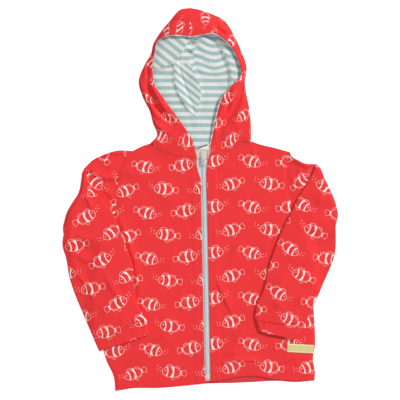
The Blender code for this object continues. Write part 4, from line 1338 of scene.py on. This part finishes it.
        piece = self.room.sheet(
            f"front_{side}_cloth", self.cells, place, print_at, [COTTON, COTTON_BACK], LAYERS.sheet_wall
        )
        self.room.wear(piece, Slot.COTTON, f"front_{side}")

    def build_back(self) -> None:
        outline = patch(
            smooth_line(HEM_BACK), smooth_line(BACK_TOP), smooth_line(SIDE_RIGHT), smooth_line(SIDE_LEFT)
        )

        def place(u: Array, v: Array) -> Array:
            """The places of the back's upper face, which is flat."""
            at = outline(u, v)
            return np.column_stack([at, np.full(len(at), LAYERS.back_wall)])

        piece = self.room.sheet(
            "body_back_cloth", self.back_cells, place, lambda u, v, _: outline(u, v),
            [COTTON_BACK, COTTON], LAYERS.back_wall - 0.1,
        )
        self.room.wear(piece, Slot.COTTON, "body_back")

    def seams(self, side: str) -> list[Array]:
        """The stitch lines on a front: the hem's, the placket's, and that of the neck and shoulder.

        Args:
            side: "right" or "left".

        Returns:
            The lines, short of their very ends.
        """
        outline = self.outlines[side]
        u, v = shares(160), shares(260)
        high = apart(outline(u, np.ones_like(u)), outline(u, np.zeros_like(u)))
        wide = apart(outline(np.ones_like(v), v), outline(np.zeros_like(v), v))
        hem = self.front_top(side, u, (LAYERS.hem_depth - self.hem_stitch) / high)
        placket = self.front_top(side, self.placket_stitch / wide, v)
        neck = self.front_top(side, u, 1 - self.neck_stitch / high)
        return [line[2:-2] for line in (hem, placket, neck)]

    def build(self) -> None:
        """Builds the body."""
        for side in ("right", "left"):
            self.build_front(side)
            Sewing(self.room).sew(f"front_{side}_stitching", self.seams(side), RED_THREAD)
        self.build_back()


# ---------------------------------------------------------------- sleeves


@dataclass
class Sleeve:
    """A sleeve laid out from its armhole and folded back in over the front, and its gathered cuff."""

    room: Workroom
    side: str
    lines: SleeveLines
    side_line: tuple
    body: Array
    cut: Pair
    cuff_cut: Pair
    print_turns: Pair = (0.0, 0.0)
    print_shifts: tuple[Pair, Pair] = ((0.0, 0.0), (0.0, 0.0))
    print_width: float = 90.0  # the tube's width, as its print takes it
    wall: float = 1.0
    half: float = 2.2
    crowding: float = 0.45  # how much the columns crowd towards the tube's two edges
    fold_radius: float = 2.6
    fold_taper: float = 0.8  # how far the fold's fullness dies away at its two ends
    fold_ends: Pair = (0.1, 0.18)
    rest: float = 4.4
    droop_start: float = 4.0
    droop_length: float = 24.0
    crown: float = 1.7
    pressed: float = 0.66  # how full the tube is at the armhole
    filling: float = 0.3  # over how much of a stretch it comes to its full form
    seam: float = 0.12
    gathers: int = 9
    gather_rise: float = 0.34
    gathered: float = 0.16  # how much of the sleeve the cuff's gathers reach
    cuff_gap: float = 0.05  # over how much of its end the sleeve draws back from the cuff
    cuff_start: float = 0.02
    cuff_flat: float = 0.35  # how much less crown the cuff has
    cuff_wave: float = 1.6
    swell_middle: float = 0.55
    swell_rise: float = 0.45
    stitched: Pair = (0.03, 0.47)  # the turns between which a seam is stitched
    armhole_stitch: float = 0.02
    cuff_stitch: float = 0.985
    cells: Cells = (124, 224)
    cuff_cells: Cells = (132, 16)
    under_share: float = 0.2
    fold_share: float = 0.05

    def __post_init__(self) -> None:
        """Works out the two stretches and the cuff, and what the head covers."""
        lines = self.lines
        side = smooth_line(self.side_line)
        along = lengths(np.array(self.side_line, float))
        low = along[self.side_line.index(lines.underarm[0])] / along[-1]

        def armhole(t: Array) -> Array:
            """The part of the body's side that the sleeve is sewn to, from the shoulder down."""
            return side(1 - (1 - low) * np.asarray(t))

        fold = smooth_line(lines.fold)
        seam = smooth_line(lines.cuff_seam)
        self.under = patch(armhole, fold, smooth_line(lines.cap), smooth_line(lines.underarm))
        self.over = patch(fold, seam, smooth_line(lines.inner), smooth_line(lines.outer))
        ends = [smooth_line((lines.cuff_seam[i], lines.cuff_end[i])) for i in (0, -1)]
        self.cuff = patch(seam, smooth_line(lines.cuff_end), *ends)
        self.head = np.array([*lines.cap, *lines.fold[1:], *lines.underarm[-2::-1]], float)
        self.outward = np.array(lines.outward) / np.linalg.norm(lines.outward)

    @staticmethod
    def width(stretch: Patch, v: Array) -> Array:
        """How wide a stretch is at shares of its length."""
        marks, across = shares(17), shares(9)
        widths = [lengths(stretch(across, np.full_like(across, mark)))[-1] for mark in marks]
        return np.interp(v, marks, widths)

    def ring(self, turn: Array, width: Array) -> tuple[Array, Array]:
        """A place round the flattened tube.

        Args:
            turn: how far round, from 0 to 1: the wall that is up at the armhole, then the other one back.
            width: how wide the tube is there.

        Returns:
            The share of the width, and the height above the tube's middle.
        """
        upper = turn <= 0.5
        t = np.where(upper, 2 * turn, 2 - 2 * turn)
        share = (1 - self.crowding) * t + self.crowding * (0.5 - 0.5 * np.cos(math.pi * t))
        from_end = np.minimum(share, 1 - share) * width
        fullness = np.sqrt(np.maximum(0.0, 1 - (1 - np.minimum(from_end, self.half) / self.half) ** 2))
        return share, np.where(upper, 1.0, -1.0) * self.half * fullness

    def resting(self, at: Array) -> Array:
        """The height of what the folded-over stretch lies on, drooping to the surface beyond it."""
        away = np.minimum(outside(self.body, at), outside(self.head, at))
        return self.rest * near_start(away - self.droop_start, self.droop_length)

    def lying(self, stretch: Patch, share: Array, v: Array, b: Array, raised: Array) -> Array:
        """Places on a stretch that lies on the front.

        Args:
            stretch: the stretch.
            share: the share of its width.
            v: the share of its length.
            b: the height above the tube's middle.
            raised: how far, as a share, the fold still holds it up.

        Returns:
            The places, in millimetres.
        """
        at = stretch(share, v)
        lift = (2 * self.fold_radius - self.rest - LAYERS.gap) * raised
        middle = self.resting(at) + LAYERS.gap + self.half + lift
        puff = self.crown * np.sin(math.pi * np.clip(share, 0, 1)) ** ROUNDNESS
        folds = relief(SLEEVE_CREASES, at) + ripple(at, seed=11, length=34, rise=0.26) + puff
        return np.column_stack([at, middle + b + eased(b / self.half) * folds])

    def split(self, along: Array) -> tuple[Array, Array, Array]:
        """How far along the stretch by the armhole, round the fold, and along the folded-over stretch."""
        fold_at = self.under_share + self.fold_share
        return (
            np.clip(along / self.under_share, 0, 1),
            np.clip((along - self.under_share) / self.fold_share, 0, 1),
            np.clip((along - fold_at) / (1 - fold_at), 0, 1),
        )

    def place(self, turn: Array, along: Array) -> Array:
        """Places on the sleeve's outer face.

        Args:
            turn: how far round the tube.
            along: how far from the armhole to the cuff.

        Returns:
            The places, in millimetres.
        """
        near, bend, far = self.split(along)
        width = np.where(far > 0, self.width(self.over, far), self.width(self.under, near))
        share, b = self.ring(turn, width)
        at = self.under(share, near)
        at[:, 0] += self.seam * self.outward[0] * (1 - near)
        fullness = self.pressed + (1 - self.pressed) * eased(near / self.filling)
        folds = relief(HEAD_CREASES, at) + ripple(at, seed=7, length=30, rise=0.2)
        rise = (self.half + b) * fullness + eased(b / self.half) * folds

        angle = math.pi * bend
        ends = near_start(share, self.fold_ends[0]) + near_end(share, self.fold_ends[1])
        reach = (self.fold_radius - b) * np.sin(angle) * (1 - self.fold_taper * ends)
        turned_up = self.half + self.fold_radius - (self.fold_radius - b) * np.cos(angle)
        bent = np.column_stack([at + self.outward * reach[:, None], np.where(bend > 0, turned_up, rise)])

        over = self.lying(self.over, share, far, -b, near_start(far, self.filling))
        over[:, 2] += near_end(far, self.gathered) * self.gather(share) * eased(-b / self.half)
        over[:, 1] += LAYERS.gap * near_end(far, self.cuff_gap)
        return np.where((far > 0)[:, None], over, bent)

    def print_at(self, turn: Array, along: Array, cell: Array) -> Array:
        """Where the sleeve's cloth is on the print: turned on the head, nearly upright below the fold.

        Args:
            turn: how far round the tube.
            along: how far from the armhole to the cuff.
            cell: both for the middle of the cell, which says on which side of the fold it is.

        Returns:
            The places on the print, in millimetres.
        """
        near, _, far = self.split(along)
        share, _ = self.ring(turn, np.full(len(turn), self.print_width))
        head = turned(self.under(share, near), self.print_turns[0], self.print_shifts[0])
        below = turned(self.over(share, far), self.print_turns[1], self.print_shifts[1])
        return np.where(cell[:, 1:] > self.under_share, below, head)

    def gather(self, share: Array) -> Array:
        """The little waves of a gathered edge, wider and narrower as the elastic pulls them."""
        stray = 0.45 * np.sin(7 * share) + 0.3 * np.sin(17 * share + 1.0)
        waves = np.cos(2 * math.pi * (self.gathers * share + stray))
        return self.gather_rise * waves * (0.75 + 0.25 * np.sin(11 * share + 0.6))

    def cuff_place(self, turn: Array, along: Array) -> Array:
        """Places on the cuff's outer face: gathered in small waves.

        Args:
            turn: how far round the tube.
            along: how far from the cuff's seam to its end.

        Returns:
            The places, in millimetres.
        """
        v = self.cuff_start + (1 - self.cuff_start) * along
        share, b = self.ring(turn, self.width(self.cuff, v))
        points = self.lying(self.cuff, share, v, b, np.zeros_like(v))
        swell = self.swell_middle + self.swell_rise * np.cos(math.pi * (v - self.swell_middle))
        wave = (self.gather(share) + self.gather_rise) * swell - self.cuff_flat * self.crown
        points[:, 2] += wave * eased(b / self.half)
        points[:, 1] += self.cuff_wave * self.gather(share) * near_end(v, 0.5)
        return points

    def cuff_print(self, turn: Array, along: Array, _cell: Array) -> Array:
        """Where the cuff's cloth is on the print."""
        share, _ = self.ring(turn, np.full(len(turn), self.print_width))
        return turned(self.cuff(share, along), self.print_turns[1], self.print_shifts[1])

    def seams(self) -> list[Array]:
        """The stitch lines: beside the armhole on one wall, and above the cuff on the other."""
        turn = np.linspace(*self.stitched, 120)
        return [
            self.place(turn, np.full_like(turn, self.armhole_stitch)),
            self.place(turn + 0.5, np.full_like(turn, self.cuff_stitch)),
        ]

    def build_tube(
        self, part: str, cells: Cells, place: Patch, print_at: Printing
    ) -> bpy.types.Object:
        """Builds a tube of cloth, and turns its faces outwards as its volume tells before its wall counts.

        Args:
            part: "sleeve" or "cuff".
            cells: how many cells it has round and along.
            place: gives its places.
            print_at: gives its places on the print.

        Returns:
            The piece.
        """
        piece = self.room.sheet(
            f"{part}_{self.side}_cloth", cells, place, print_at, [COTTON, COTTON_BACK], self.wall, weld=True
        )
        mesh = bmesh.new()
        mesh.from_mesh(piece.data)
        if mesh.calc_volume(signed=True) < 0:
            bmesh.ops.reverse_faces(mesh, faces=mesh.faces)
        mesh.to_mesh(piece.data)
        mesh.free()
        piece.data.shade_smooth()
        self.room.wear(piece, Slot.COTTON, f"{part}_{self.side}")
        return piece

    def build(self) -> None:
        sleeve = self.build_tube("sleeve", self.cells, self.place, self.print_at)
        cuff = self.build_tube("cuff", self.cuff_cells, self.cuff_place, self.cuff_print)
        Sewing(self.room).sew(f"sleeve_{self.side}_stitching", self.seams(), RED_THREAD)


# ---------------------------------------------------------------- hood


@dataclass
class HoodHalf:
    """Half of the hood: from its centre seam out along the surface, over the roll, and in to the rim."""

    room: Workroom
    side: str
    rows: tuple
    neck: tuple
    sign: int
    cut: Pair
    roll: float = 3.7
    roll_limit: float = 0.8  # the roll takes at most this much of the front leaf's width
    wall: float = 1.2
    lining_start: float = 1.9
    lining_wall: float = 1.3
    lining_lift: float = 0.5
    lining_spread: float = 1.7
    lining_ridges: float = 0.4  # how much of a ridge of the outer cloth shows on its inner side
    flattened: float = 0.18  # the lining's own folds die away over this last part of the back leaf
    neck_clear: float = 0.3
    neck_reach: float = 0.12  # up to this share of the height the neck seam bends the front leaf
    neck_height: float = 5.6  # the outer cloth comes down to this at the neck seam
    neck_tuck: float = 0.035  # within this share of the height, and of the width, it turns to the seam
    seam: float = 0.03
    peep: float = 1.5  # how far the lining comes past the rim, and up behind it
    peep_part: float = 0.07
    rim_drop: float = 0.88
    rim_part: float = 0.06
    hollow: float = 6.0  # no trough of the outer cloth goes below this
    hollow_loss: float = 0.56  # how much of its depth a layer's troughs may lie below that
    print_shift: Pair = (15.0, 6.0)
    squeeze: Pair = (1.32, 1.16)  # the folds take up cloth, so the print shows drawn together
    knots: tuple[float, ...] = (0.0, 0.34, 0.48, 1.0)
    strip_span: Pair = (118.0, 238.0)
    strip_drag: float = 0.8
    strip_level: float = -40.0  # where across the dragged stripes are as high as the others
    flap_turn: float = 38.0
    facing_from: float = 196.0
    facing_turn: float = 14.0
    facing_shift: float = 5.0
    rim_stitch: float = 0.955
    crown_stitch: float = 0.995
    cells: Cells = (112, 190)
    lining_cells: Cells = (84, 124)

    def __post_init__(self) -> None:
        """Works out the lines, and the lengths along the outline."""
        self.row_line = spline(shares(len(self.rows)), np.array(self.rows, float))
        self.centre = smooth_line(CENTRE_SEAM)
        self.neck_line = smooth_line(self.neck)
        self.outline_marks = shares(80)
        self.outline_length = lengths(self.row_line(self.outline_marks)[:, :2])

    def wall_place(self, u: Array, s: Array, depth: float, lining: bool) -> Array:
        """Places on a wall of the hood.

        Args:
            u: the share across the sheet, from the centre seam out, over the roll and in to the rim.
            s: the share from the neck to the crown.
            depth: how far inside the outer face.
            lining: whether it is the lining, which has folds of its own and peeps out past the rim.

        Returns:
            The places, in millimetres.
        """
        q = self.q_at(u)
        row = self.row_line(s)
        edge, rim, rim_z = row[:, :2], row[:, 2:4], row[:, 4]
        seam = self.centre(eased(s)) + np.array([self.sign * self.seam, 0.0])
        outward = (edge - seam) / apart(edge, seam)[:, None]
        reach = apart(rim, edge)
        inward = (rim - edge) / reach[:, None]
        roll = np.minimum(self.roll, self.roll_limit * reach)
        foot, head = edge - outward * self.roll, edge + inward * roll[:, None]

        # The back leaf lies on the surface, from the centre seam out to the roll.
        share = np.clip(q, 0, 1)
        back = seam + (foot - seam) * share[:, None]
        back_z = np.full(len(s), depth)
        if lining:
            folds = relief(LINING_CREASES, back) + ripple(back, seed=21, length=30, rise=0.45)
            back_z += folds * (1 - near_end(share, self.flattened)) + self.lining_lift

        # The roll turns up and over at the outline.
        share = np.clip(q - 1, 0, 1)
        radius = self.roll - depth
        rolled = foot + (head - foot) * share[:, None]
        rolled += (outward - inward) / 2 * (radius * np.sin(math.pi * share))[:, None]
        rolled_z = self.roll - radius * np.cos(math.pi * share)

        # The front leaf lies on top, from the roll in to the rim, and its lower edge follows the neck seam.
        along = np.clip(q - 2, 0, 1)
        start, end = np.array(self.rows[0][:2]), np.array(self.rows[0][2:4])
        across = along + (1 - along) * roll / reach
        bow = self.neck_line(1 - across) - (start + (end - start) * across[:, None])
        bow = (bow + np.array([0.0, self.neck_clear])) * near_start(s, self.neck_reach)[:, None]
        front = head + (rim - head) * along[:, None] + bow * eased(along / self.neck_tuck)[:, None]
        folds = relief(HOOD_CREASES, front, self.lining_spread if lining else 1.0)
        if lining:
            folds = np.minimum(folds, self.lining_ridges * folds)
        top = 2 * self.roll
        plain = top + (rim_z - top) * np.sin(math.pi / 2 * along) ** ROUNDNESS - depth
        front_z = np.maximum(plain + folds, np.minimum(plain, self.hollow - self.hollow_loss * depth))
        front_z += ripple(front, seed=31, length=36, rise=0.3) * np.minimum(1.0, along * 4)
        if lining:
            peep = self.peep * near_end(along, self.peep_part)
            front, front_z = front + inward * peep[:, None], front_z + peep
        else:
            tuck = near_start(s, self.neck_tuck) * eased(along / 0.15)
            front_z += (np.minimum(front_z, self.neck_height) - front_z) * tuck
            front_z -= self.rim_drop * near_end(along, self.rim_part)

        leaves = ((back, back_z), (rolled, rolled_z), (front, front_z))
        back, rolled, front = (np.column_stack(leaf) for leaf in leaves)
        return np.where((q <= 1)[:, None], back, np.where((q < 2)[:, None], rolled, front))

    def q_at(self, u: Array) -> Array:
        """Where a share across is: up to 1 on the back leaf, to 2 on the roll, to 3 on the front leaf."""
        return np.interp(u, self.knots, (0.0, 1.0, 2.0, 3.0))

    def outer(self, u: Array, v: Array) -> Array:
        """Places on the outer cloth's face."""
        return self.wall_place(u, v, 0.0, False)

    def lining(self, u: Array, v: Array) -> Array:
        """Places on the lining's face."""
        return self.wall_place(u, v, self.lining_start + self.lining_wall, True)

    def outer_print(self, u: Array, v: Array, _cell: Array) -> Array:
        """Where the outer cloth is on the print: it runs along the outline and turns with it.

        Args:
            u: the share across the sheet.
            v: the share from the neck to the crown.

        Returns:
            The places on the print, in millimetres.
        """
        away = apart(self.outer(u, v)[:, :2], self.row_line(v)[:, :2])
        inside = away * np.where(self.q_at(u) < 1.5, -1.0, 1.0)
        up = np.interp(v, self.outline_marks, self.outline_length)
        across, along = self.print_shift
        return np.column_stack([-self.sign * inside * self.squeeze[0] + across, up * self.squeeze[1] + along])

    def lining_print(self, u: Array, v: Array, cell: Array) -> Array:
        """Where the lining is on its stripes: level, but turned on flap and facing, and dragged on the strip.

        Args:
            u: the share across the sheet.
            v: the share from the neck to the crown.
            cell: both for the middle of the cell, which says on which side of a fold it is.

        Returns:
            The places on the stripes, in millimetres.
        """
        at = self.wall_place(u, v, self.lining_start, False)[:, :2]
        x, y, _ = self.wall_place(cell[:, 0], cell[:, 1], self.lining_start, False).T

        def edge_at(line: tuple, axis: int) -> Array:
            """A line's other coordinate where the line is as far along this axis as each cell is."""
            points = np.array(line[::-1], float)
            return np.interp((x, y)[axis], points[:, axis], points[:, 1 - axis])

        in_flap = (x < FLAP_EDGE[0][0]) & (y > edge_at(FLAP_EDGE, 0))
        in_strip = (x > edge_at(STRIP_LEFT, 1)) & (x < edge_at(STRIP_RIGHT, 1)) & ~in_flap
        in_strip &= (y > self.strip_span[0]) & (y < self.strip_span[1])
        in_facing = (x > edge_at(FACING_EDGE, 1)) & (y > self.facing_from)
        # Under the crown the stripes sway by up to 5 mm, as the jersey is pushed together there.
        sway = eased((at[:, 1] - 205) / 30) * np.sin((at[:, 0] - 6) / 12) * eased((at[:, 0] + 16) / 12)
        rows = np.select(
            [in_flap, in_strip, in_facing],
            [
                turned(at, self.flap_turn)[:, 1],
                at[:, 1] + self.strip_drag * (at[:, 0] - self.strip_level),
                turned(at, self.facing_turn, (0.0, self.facing_shift))[:, 1],
            ],
            at[:, 1] + 5.0 * sway,
        )
        return np.column_stack([at[:, 0], rows])

    def build(self) -> None:
        piece = self.room.sheet(
            f"hood_{self.side}_cloth", self.cells, self.outer, self.outer_print, [COTTON, COTTON_BACK],
            self.wall, up=(0.55, 1.0),
        )
        self.room.wear(piece, Slot.COTTON, f"hood_{self.side}")
        piece = self.room.sheet(
            f"hood_lining_{self.side}_cloth", self.lining_cells, self.lining, self.lining_print,
            [JERSEY, JERSEY], LAYERS.sheet_wall, up=(0.0, self.knots[1]),
        )
        self.room.wear(piece, Slot.JERSEY, f"hood_lining_{self.side}")
        rim = self.outer(np.full(160, self.rim_stitch), np.linspace(0.03, 0.98, 160))
        crown = self.outer(np.linspace(0.5, 0.96, 50), np.full(50, self.crown_stitch))
        Sewing(self.room).sew(f"hood_{self.side}_stitching", [rim, crown], RED_THREAD)


# ---------------------------------------------------------------- zip and labels


@dataclass
class Zip:
    """Two tapes, moulded coils that close along the middle, and the cast slider, pull and box."""

    room: Workroom
    tape_width: float = 13.0
    tape_thick: float = 0.8
    tape_tail: float = 8.0  # how far the tapes run on below the zip
    pitch: float = 1.7
    tooth: tuple[float, float, float] = (3.3, 1.15, 1.5)
    mesh_share: float = 0.36
    chain_end: float = 1.0
    tape_cells: Cells = (14, 160)

    def build_tape(self, side: str, sign: int) -> None:
        """Builds one tape, from beside the middle out under the front's edge.

        Args:
            side: "right" or "left".
            sign: which way it runs out, -1 or 1.
        """

        def flat(u: Array, v: Array) -> Array:
            """The tape's places in plan."""
            y = ZIP_BOTTOM[1] - self.tape_tail + (ZIP_TOP[1] - ZIP_BOTTOM[1] + self.tape_tail) * v
            return np.column_stack([zip_x(y) + sign * (LAYERS.gap / 2 + self.tape_width * u), y])

        def place(u: Array, v: Array) -> Array:
            """The places of the tape's upper face."""
            at = flat(u, v)
            return np.column_stack([at, np.full(len(at), LAYERS.front_floor + self.tape_thick)])

        piece = self.room.sheet(
            f"zip_tape_{side}_twill", self.tape_cells, place, lambda u, v, _: flat(u, v), [TAPE],
            self.tape_thick - 0.05,
        )
        self.room.wear(piece, Slot.TAPE, f"zip_tape_{side}")

    def build_chain(self) -> None:
        """Builds the closed coils: a row of rounded teeth from each side, meeting in the middle."""
        low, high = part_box("zip_chain")
        start = low.y / MM - self.room.shift[1] + self.chain_end
        end = high.y / MM - self.room.shift[1] - self.chain_end
        size = Matrix.Diagonal((*(s / 2 * MM for s in self.tooth), 1.0))
        mesh = bmesh.new()
        for side in (-1, 1):
            y = start + (side + 1) * self.pitch / 4
            x = float(zip_x(y)) + side * self.tooth[0] * self.mesh_share
            at = self.room.placed(np.array([x, y, 0.0])) + np.array([0, 0, (low.z + high.z) / 2])
            bmesh.ops.create_uvsphere(
                mesh, u_segments=10, v_segments=6, radius=1.0, matrix=Matrix.Translation(at) @ size
            )
        piece = self.room.add("zip_chain_coils", mesh, [MouldedCoil()])
        row = piece.modifiers.new("teeth", "ARRAY")
        row.use_relative_offset = False
        row.use_constant_offset = True
        row.count = int((end - start) / self.pitch)
        row.constant_offset_displace = ((zip_x(self.pitch) - zip_x(0.0)) * MM, self.pitch * MM, 0.0)
        self.room.wear(piece, Slot.COIL, "zip_chain")

    def build(self) -> None:
        """Builds the zip and gives its metal its finish."""
        self.build_tape("right", -1)
        self.build_tape("left", 1)
        self.build_chain()
        metal = self.room.material(CastMetal())
        for node in ("zip_slider", "zip_pull", "zip_box"):
            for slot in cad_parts[node].material_slots:
                slot.material = metal


@dataclass
class Labels:
    """Two bare woven labels: one flat on the left front by the side seam, one inside the neck."""

    room: Workroom
    body: Body
    cells: Cells = (36, 14)
    thick: float = 0.45
    bow: float = 0.35
    edge_drop: float = 0.25
    edge_roll: float = 2.0
    side_size: Pair = (46.0, 14.4)
    side_at: Pair = (175.6, -260.0)
    side_turn: float = -3.0
    neck_size: Pair = (22.0, 17.0)
    neck_at: Pair = (4.4, 80.5)
    neck_slant: float = 8.5
    lining_rise: float = 3.6
    lining_from: float = 83.0  # where, up the garment, the label climbs onto the lining's edge
    lining_slope: float = 6.0

    def build_one(
        self, node: str, size: Pair, at: Pair, turn: float, slant: float,
        floor: Callable[[Array], Array], finish: Woven, slot: Slot,
    ) -> Patch:
        """Builds a label.

        Args:
            node: the node that it replaces.
            size: its width and height.
            at: its middle.
            turn: how far it is turned, in degrees.
            slant: how much higher its upper edge is at the end.
            floor: what it lies on, at places.
            finish: its weave.
            slot: its slot.

        Returns:
            A function that gives places on its face.
        """

        def flat(u: Array, v: Array) -> Array:
            """Places on the flat label, from its middle."""
            return np.column_stack([(u - 0.5) * size[0], (v - 0.5) * size[1]])

        def place(u: Array, v: Array) -> Array:
            """Places on the label's face: bowed a little along its length, with its edges down."""
            where = turned(flat(u, v), turn, at)
            where[:, 1] += slant * u * v
            edge = np.minimum(np.minimum(u, 1 - u) * size[0], np.minimum(v, 1 - v) * size[1])
            bow = self.bow * np.sin(math.pi * u) + self.edge_drop * eased(edge / self.edge_roll)
            return np.column_stack([where, floor(where) + LAYERS.gap + self.thick + bow])

        piece = self.room.sheet(
            f"{node}_satin", self.cells, place, lambda u, v, _: flat(u, v), [finish], self.thick
        )
        self.room.wear(piece, slot, node)
        return place

    def on_front(self, at: Array) -> Array:
        """The height of the front's face at places."""
        far = np.full(len(at), FAR)
        return self.body.floor(at, far, far) + LAYERS.front_wall

    def on_lining(self, at: Array) -> Array:
        """The height of what the neck label lies on: the back, then the lining's lower edge."""
        return LAYERS.back_wall + self.lining_rise * eased((at[:, 1] - self.lining_from) / self.lining_slope)

    def build(self) -> None:
        """Builds both labels, and the overlocked edge above the neck's."""
        self.build_one(
            "label_side", self.side_size, self.side_at, self.side_turn, 0.0, self.on_front,
            SIDE_LABEL_WEAVE, Slot.LIME,
        )
        neck = self.build_one(
            "label_neck", self.neck_size, self.neck_at, 0.0, self.neck_slant, self.on_lining,
            NECK_LABEL_WEAVE, Slot.CREAM,
        )
        edge = neck(np.linspace(0.02, 0.98, 40), np.full(40, 0.97))
        overlock = Sewing(self.room, pitch=1.7, length=1.2, width=3.0, sink=-0.1)
        overlock.sew("neck_overlock", [edge], DARK_THREAD)


# ---------------------------------------------------------------- studio


@dataclass
class Studio:
    """A white table under soft light, with the camera straight above. Its sizes are in metres."""

    photo_pixels: int = 400
    pixel_mm: float = 1.75
    middle_row: float = 199.6
    height: float = 2.2
    sensor_mm: float = 36.0
    table_half: float = 30.0
    table_glow: float = 0.65
    sky: float = 0.355

    def build_floor(self) -> None:
        """Builds the table: a light table, so that no shadow shows round the garment."""
        mesh = bmesh.new()
        bmesh.ops.create_grid(mesh, x_segments=1, y_segments=1, size=self.table_half)
        data = bpy.data.meshes.new("table")
        mesh.to_mesh(data)
        mesh.free()
        floor = bpy.data.objects.new("table", data)
        floor.visible_diffuse = False
        bpy.context.scene.collection.objects.link(floor)
        material, _, shader = new_material("white_table")
        set_inputs(shader, {
            "Base Color": linear("#F4F4F4"), "Roughness": 0.9,
            "Emission Color": linear("#FFFFFF"), "Emission Strength": self.table_glow,
        })
        data.materials.append(material)

    def build_light(self, name: str, at: tuple[float, float, float], size: float, power: float) -> None:
        """Adds a soft light that points at the garment.

        Args:
            name: its name.
            at: its place.
            size: how wide it is.
            power: how strong it is, in watts.
        """
        light = bpy.data.lights.new(name, "AREA")
        light.shape = "DISK"
        light.size = size
        light.energy = power
        lamp = bpy.data.objects.new(name, light)
        lamp.location = at
        lamp.rotation_euler = (-Vector(at)).to_track_quat("-Z", "Y").to_euler()
        bpy.context.scene.collection.objects.link(lamp)

    def build_camera(self, shift: Pair) -> None:
        """Adds the camera, at the photograph's scale.

        Args:
            shift: what the part moved the tables' origin by, in millimetres.
        """
        camera = bpy.data.cameras.new("camera")
        camera.type = "PERSP"
        camera.sensor_width = self.sensor_mm
        camera.lens = self.sensor_mm * self.height / (self.photo_pixels * self.pixel_mm * MM)
        camera.dof.use_dof = False
        eye = bpy.data.objects.new("camera", camera)
        up = (self.middle_row - self.photo_pixels / 2) * self.pixel_mm
        eye.location = (shift[0] * MM, (up + shift[1]) * MM, self.height)
        bpy.context.scene.collection.objects.link(eye)
        bpy.context.scene.camera = eye

    def build(self, shift: Pair) -> None:
        """Builds the studio, its camera over the tables' origin, which shift moved."""
        self.build_floor()
        self.build_light("key", at=(5.5, 3.9, 5.7), size=1.6, power=590.0)
        self.build_light("fill", at=(-2.4, -1.2, 6.4), size=3.0, power=70.0)
        world = bpy.data.worlds.new("studio")
        bpy.context.scene.world = world
        world.use_nodes = True
        background = world.node_tree.nodes["Background"]
        set_inputs(background, {"Color": linear("#FFFFFF"), "Strength": self.sky})
        bpy.context.scene.view_settings.view_transform = "Standard"
        bpy.context.scene.view_settings.look = "None"
        self.build_camera(shift)


# ---------------------------------------------------------------- the whole garment


def main() -> None:
    """Builds every piece in order."""
    logging.basicConfig(level=logging.INFO, format="%(message)s")
    low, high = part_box("zip_box")
    shift = tuple(float((low[i] + high[i]) / 2 / MM - ZIP_BOTTOM[i]) for i in (0, 1))
    room = Workroom(shift=shift)
    Studio().build(shift)
    body = Body(room)
    body.build()
    outline = Body.outline()
    Sleeve(
        room, "right", SLEEVE_RIGHT, SIDE_RIGHT, outline, cut=(0.21, 0.335), cuff_cut=(0.20, 0.025),
        print_turns=(55.0, -20.0), print_shifts=((-35.0, -7.3), (30.0, -18.8)),
    ).build()
    Sleeve(
        room, "left", SLEEVE_LEFT, SIDE_LEFT, outline, cut=(0.20, 0.315), cuff_cut=(0.165, 0.021),
        print_turns=(-58.0, 15.0), print_shifts=((46.4, -6.8), (-5.6, -18.0)),
    ).build()
    HoodHalf(
        room, "right", HOOD_RIGHT, NECK_RIGHT, -1, cut=(0.105, 0.26), print_shift=(24.0, -2.0),
    ).build()
    HoodHalf(room, "left", HOOD_LEFT, NECK_LEFT, 1, cut=(0.12, 0.26), crown_stitch=0.945).build()
    Zip(room).build()
    Labels(room, body).build()


if __name__ == "__main__":
    main()
